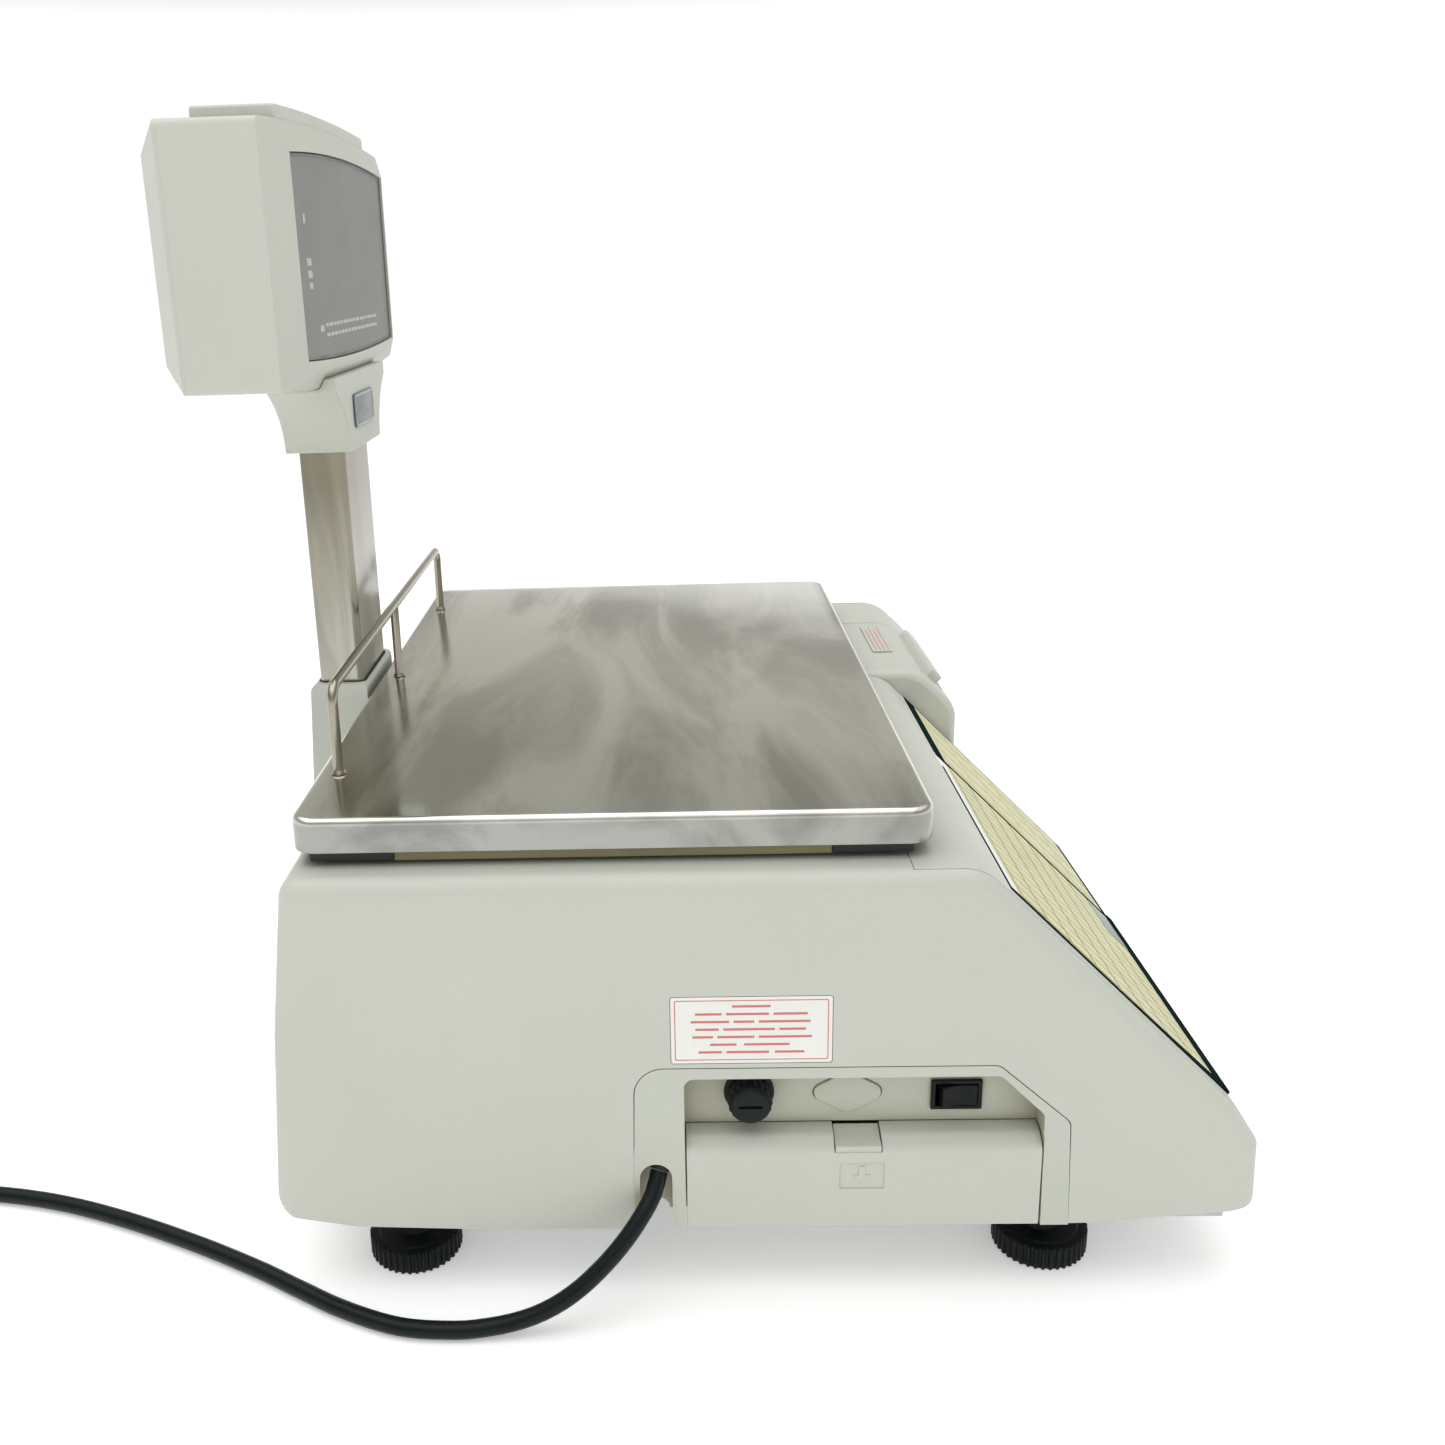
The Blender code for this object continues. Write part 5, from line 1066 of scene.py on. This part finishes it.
# ---- pole and display head
def make_pole():
    half_x, half_y = POLE_SIZE[0] / 2, POLE_SIZE[1] / 2

    def ring(grow, radius):
        x, y = half_x + grow, half_y + grow
        return rounded(rectangle(POLE_X - x, POLE_Y - y, POLE_X + x, POLE_Y + y, radius), math.radians(8))

    pole = slab("pole", ring(0.0, 0.0035), "Z", 0.105, 0.345)
    cut(pole, slab("pole_bore", ring(-0.0015, 0.002), "Z", 0.1, 0.35))
    show("pole_steel", pole, "base", "stainless", "pole_metal", ("pole_tube",))

    side = [(0.1597, 0.062, 0.0), (0.186, 0.062, 0.0), (0.195, 0.068, 0.0), (0.1925, 0.13, 0.0),
            (0.1876, 0.2075, 0.004), (0.1597, 0.2075, 0.003)]
    left, right = POLE_X - 0.0322, POLE_X + 0.0322
    bracket = slab("bracket", rounded(side), "X", left, right)
    edges = rectangle(left, 0.156, right, 0.205, 0.0, 0.0, 0.006, 0.006)
    keep(bracket, slab("bracket_plan", rounded(edges), "Z", 0.05, 0.25))
    cut(bracket, slab("bracket_bore", ring(GAP, 0.0038), "Z", 0.1, 0.25))
    show("pole_socket", bracket, "base", "housing", nodes=("pole_bracket",), soften=0.0006, segments=3)
    gasket = slab("gasket", ring(0.0008, 0.0042), "Z", 0.2072, 0.2079, 0.0002, 2)
    cut(gasket, slab("gasket_room", ring(0.0001, 0.0036), "Z", 0.2, 0.22))
    show("pole_gasket", gasket, "base", "rubber")


def head_ring(half, low, high, rise, drop, y, corner=0.0, steps=32):
    """An outline with a bowed top and bottom edge, rounded at its four corners."""
    points = []
    for k in range(steps + 1):
        share = 2 * k / steps - 1
        points.append((POLE_X + half * share, low - drop * (1 - share * share), corner if k in (0, steps) else 0.0))
    for k in range(steps + 1):
        share = 1 - 2 * k / steps
        points.append((POLE_X + half * share, high + rise * (1 - share * share), corner if k in (0, steps) else 0.0))
    return [Vector((x, y, z)) for x, z in rounded(points)]


def head_outer(y, shrink=0.0):
    """The display head's outline at a depth, smaller by shrink."""
    low, high = HEAD_LOW + shrink, HEAD_HIGH - shrink
    return head_ring(HEAD_HALF - shrink, low, high, 0.0038, 0.0045, y, HEAD_CORNER - shrink)


def head_framing(y, grow):
    """The window's outline at a depth, larger by grow."""
    return head_ring(WINDOW_HALF + grow, WINDOW_LOW - grow, WINDOW_HIGH + grow, 0.0035, 0.0025, y, 0.0012)


def window_marks():
    """Small plain bars for a window, without letters: left end, low edge, width and height of each."""
    marks = [(-0.078, 0.4225, 0.0035, 0.0038), (-0.0775, 0.4055, 0.0075, 0.003), (-0.0775, 0.4005, 0.0075, 0.003),
             (-0.0765, 0.396, 0.006, 0.0026), (-0.064, 0.3778, 0.007, 0.0026)]
    for row, z in ((0, 0.3795), (1, 0.3752)):
        x = -0.053
        for k in range(16):
            wide = 0.0048 + 0.0022 * ((k * 7 + row * 3) % 4) / 3
            marks.append((x, z, wide, 0.0015))
            x += wide + 0.0012
    return marks


def make_head():
    front = loft("head_front", [head_framing(HEAD_FRONT_Y, 0.0012), head_outer(HEAD_SHOULDER_Y),
                                head_outer(HEAD_SPLIT_Y)])
    hump = [(p.x, p.z) for p in head_ring(0.086, 0.455, 0.4685, 0.0017, 0.0, 0.0, 0.0015)]
    add(front, slab("head_hump", hump, "Y", 0.1645, 0.1995, 0.0012, 3))
    cut(front, loft("front_room_head", [head_outer(0.1655, 0.0026), head_outer(0.21, 0.0026)]))
    cut(front, loft("front_window_hole", [head_framing(0.15, GAP), head_framing(0.17, GAP)]))
    cut(front, box("neck_hole", (POLE_X - 0.03, 0.1666, 0.34), (POLE_X + 0.03, 0.186, 0.37)))
    show("head_front_skin", front, "base", "housing", nodes=("display_front_shell",), soften=0.0007)

    lap = 0.00012
    rear = loft("head_rear", [head_outer(HEAD_SPLIT_Y - 0.002, lap), head_outer(HEAD_SPLIT_Y + 0.0011, lap),
                              head_outer(0.2045), head_framing(HEAD_REAR_Y, 0.0012)])
    cut(rear, loft("rear_room_head", [head_outer(0.195, 0.0026), head_outer(0.2055, 0.0026)]))
    cut(rear, loft("rear_window_hole", [head_framing(0.2, GAP), head_framing(0.23, GAP)]))
    show("head_rear_skin", rear, "base", "housing", nodes=("display_rear_shell",), soften=0.0007)

    marks = window_marks()
    for name, near, far, out, cad in (("front", 0.159, 0.161, -1, "operator_window"),
                                      ("rear", 0.2142, 0.2162, 1, "customer_window")):
        pane = loft(f"pane_{name}", [head_framing(near, 0.0), head_framing(far, 0.0)])
        show(f"window_{name}", pane, "base", "window", nodes=(cad,), soften=0.0003)
        face = near if out < 0 else far
        ring = loft(f"edge_{name}", [head_framing(face - 0.00012, -0.0004), head_framing(face + 0.00012, -0.0004)])
        cut(ring, loft(f"edge_room_{name}", [head_framing(face - 0.001, -0.0016), head_framing(face + 0.001, -0.0016)]))
        show(f"window_{name}_edge", ring, "base", "window", "window_edge")
        ticks = []
        for x, z, wide, high in marks:
            a, b = (x, x + wide) if out < 0 else (-x - wide, -x)
            low, top = (POLE_X + a, face - 0.0001, z), (POLE_X + b, face + 0.0001, z + high)
            ticks.append(box(f"tick_{name}_{len(ticks)}", low, top))
        show(f"window_{name}_marks", joined(f"marks_{name}", *ticks), "base", "window", "window_mark")


def make_neck():
    outline = [(POLE_X - 0.034, 0.3215), (POLE_X + 0.034, 0.3215)]
    flare = [(0.0342, 0.324), (0.0346, 0.3262), (0.0355, 0.329), (0.0366, 0.332), (0.038, 0.3347), (0.0395, 0.337),
             (0.0416, 0.3396), (0.0436, 0.3418), (0.046, 0.344), (0.0496, 0.3468), (0.053, 0.3491), (0.056, 0.351)]
    outline += [(POLE_X + x, z) for x, z in flare]
    outline += [(POLE_X + 0.056, 0.357), (POLE_X - 0.056, 0.357)]
    outline += [(POLE_X - x, z) for x, z in reversed(flare)]
    neck = slab("neck", outline, "Y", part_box("display_neck")[0].y, 0.188)
    cut(neck, loft("neck_head_room", [head_framing(HEAD_FRONT_Y - 0.0002, 0.0015), head_outer(HEAD_SHOULDER_Y, -GAP),
                                      head_outer(HEAD_SPLIT_Y, -GAP)]))
    bore = rectangle(POLE_X - 0.0283, POLE_Y - 0.0113, POLE_X + 0.0283, POLE_Y + 0.0113, 0.0)
    cut(neck, slab("neck_bore", rounded(bore), "Z", 0.31, 0.3453))
    cut(neck, box("neck_way", (POLE_X - 0.01, 0.166, 0.34), (POLE_X + 0.01, 0.18, 0.36)))
    show("head_neck", neck, "base", "housing", nodes=("display_neck",), soften=0.0012, segments=3)
    low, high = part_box("badge_plate")
    corners = rectangle(low.x, low.z, high.x, high.z, 0.002)
    plate = slab("badge", rounded(corners), "Y", low.y, high.y, 0.0002, 2)
    show("blank_badge", plate, "base", "badge", nodes=("badge_plate",))
    rim = slab("badge_rim", rounded(inset(corners, 0.0006)), "Y", low.y - 0.00012, low.y + 0.0003)
    cut(rim, slab("badge_rim_room", rounded(inset(corners, 0.0012)), "Y", low.y - 0.001, low.y + 0.001))
    show("badge_border", rim, "base", "badge", "badge_edge")


# ---- feet, inside parts, room
def knurl(angle):
    """A foot's radius at an angle, with forty grip ribs."""
    return 0.0186 + 0.0009 * min(1.0, max(0.0, 0.5 + 0.9 * math.cos(angle * 40)))


def make_feet():
    profile = [(0.0, 0.0098), (0.016, 0.0098), (0.015, 0.0106), (0.0085, 0.0112), (0.0078, 0.0135), (0.0052, 0.014)]
    for k in range(14):
        low = 0.015 + 0.0019 * k
        profile += [(0.005, low), (0.0043, low + 0.0008), (0.005, low + 0.0016)]
    profile += [(0.0046, 0.042), (0.0, 0.042)]
    for side, x in (("left", -0.176), ("right", 0.176)):
        for end, y in (("front", -0.141), ("rear", 0.1245)):
            name = f"foot_{end}_{side}"
            foot = slab(name + "_rim", wheel(x, y, 240, knurl), "Z", 0.0, 0.01, 0.0006, 2)
            add(foot, turned(name + "_stem", profile, (x, y, 0.0), 40))
            show(name + "_ribbed", foot, name, "rubber", "black_plastic", (name,))


def make_printer_roll():
    roll = [(0.0126, 0.1308), (0.0126, 0.0702)]
    for k in range(30):
        radius = 0.013 + 0.0008 * k
        roll += [(radius, 0.07), (radius + 0.0004, 0.0702)]
    roll += [(0.0368, 0.07), (0.037, 0.0702), (0.037, 0.1308), (0.0368, 0.131)]
    for k in reversed(range(30)):
        radius = 0.013 + 0.0008 * k
        roll += [(radius + 0.0004, 0.1308), (radius, 0.131)]
    made = turned("roll", roll, (0.0, -0.085, 0.11), 96, "X")
    show("label_paper_roll", made, "label_roll", "paper", nodes=("label_roll",))


# The CAD nodes that keep their shapes, under the material that each takes
NODES_OF_LOOK = {
    "aluminium": ("load_cell", "load_cell_base"),
    "black_plastic": ("calibration_switch",),
    "circuit_board": ("calibration_board", "display_board", "interface_board", "keypad_board", "main_board"),
    "gear_plastic": ("idler_gear", "label_spool", "motor_pinion", "platen_gear", "rewind_spool"),
    "glass": ("fuse_cartridge",),
    "iron": ("power_transformer",),
    "rubber": ("platen_roller",),
    "stainless": ("tear_bar",),
    "steel": ("bottom_pan", "feed_motor", "printer_chassis", "thermal_head"),
}


def dress_nodes():
    for finish, names in NODES_OF_LOOK.items():
        for name in names:
            obj = frame["nodes"][name]
            if not obj.material_slots:
                obj.data.materials.append(LOOKS[finish])
            for each in obj.material_slots:
                each.material = LOOKS[finish]


# The room's brightness by direction, from below the horizon to straight up
ROOM_LIGHT = (
    (0.0, (1.25, 1.25, 1.25)), (0.155, (1.25, 1.25, 1.25)), (0.205, (0.48, 0.47, 0.43)), (0.28, (0.72, 0.71, 0.64)),
    (0.375, (0.42, 0.42, 0.38)), (0.5, (0.45, 0.45, 0.42)), (0.7, (1.1, 1.1, 1.1)), (1.0, (1.5, 1.5, 1.5)),
)
LAMPS = (("key", (-1.9, -0.1, 1.5), 1.6, 2.5), ("top", (0.0, 0.3, 2.0), 2.4, 18.0))
LAMPS_AIM = Vector((0.0, 0.0, 0.15))


def make_room():
    scene = bpy.context.scene
    scene.view_settings.view_transform = "Standard"
    bpy.ops.mesh.primitive_plane_add(size=30.0, location=(0.0, 0.0, 0.0))
    floor = bpy.context.active_object
    floor.name = "floor"
    floor.data.materials.append(LOOKS["floor"])
    world = bpy.data.worlds.new("studio")
    scene.world = world
    world.use_nodes = True
    tree = world.node_tree
    back = tree.nodes["Background"]
    direction = tree.nodes.new("ShaderNodeTexCoord")
    height = tree.nodes.new("ShaderNodeSeparateXYZ")
    tree.links.new(direction.outputs["Generated"], height.inputs[0])
    ramp = tree.nodes.new("ShaderNodeValToRGB")
    ramp.color_ramp.elements[0].color = (*ROOM_LIGHT[0][1], 1.0)
    ramp.color_ramp.elements[1].color = (*ROOM_LIGHT[-1][1], 1.0)
    for at, colour in ROOM_LIGHT[1:-1]:
        ramp.color_ramp.elements.new(at).color = (*colour, 1.0)
    tree.links.new(height.outputs["Z"], ramp.inputs["Fac"])
    tree.links.new(ramp.outputs["Color"], back.inputs["Color"])
    back.inputs["Strength"].default_value = 0.82
    for name, at, size, power in LAMPS:
        data = bpy.data.lights.new(name, "AREA")
        data.size = size
        data.energy = power
        lamp = bpy.data.objects.new(name, data)
        lamp.matrix_world = along(at, Vector(at) - LAMPS_AIM)
        scene.collection.objects.link(lamp)


for make in (make_camera, make_looks, make_cord, make_housing, make_side_panel, make_labels, make_keypads, make_platter,
             make_guard_rail, make_under_platter, make_pole, make_head, make_neck, make_feet, make_printer_roll,
             dress_nodes, make_room):
    make()
for helper in list(HELPERS.objects):
    bpy.data.objects.remove(helper)
bpy.data.collections.remove(HELPERS)
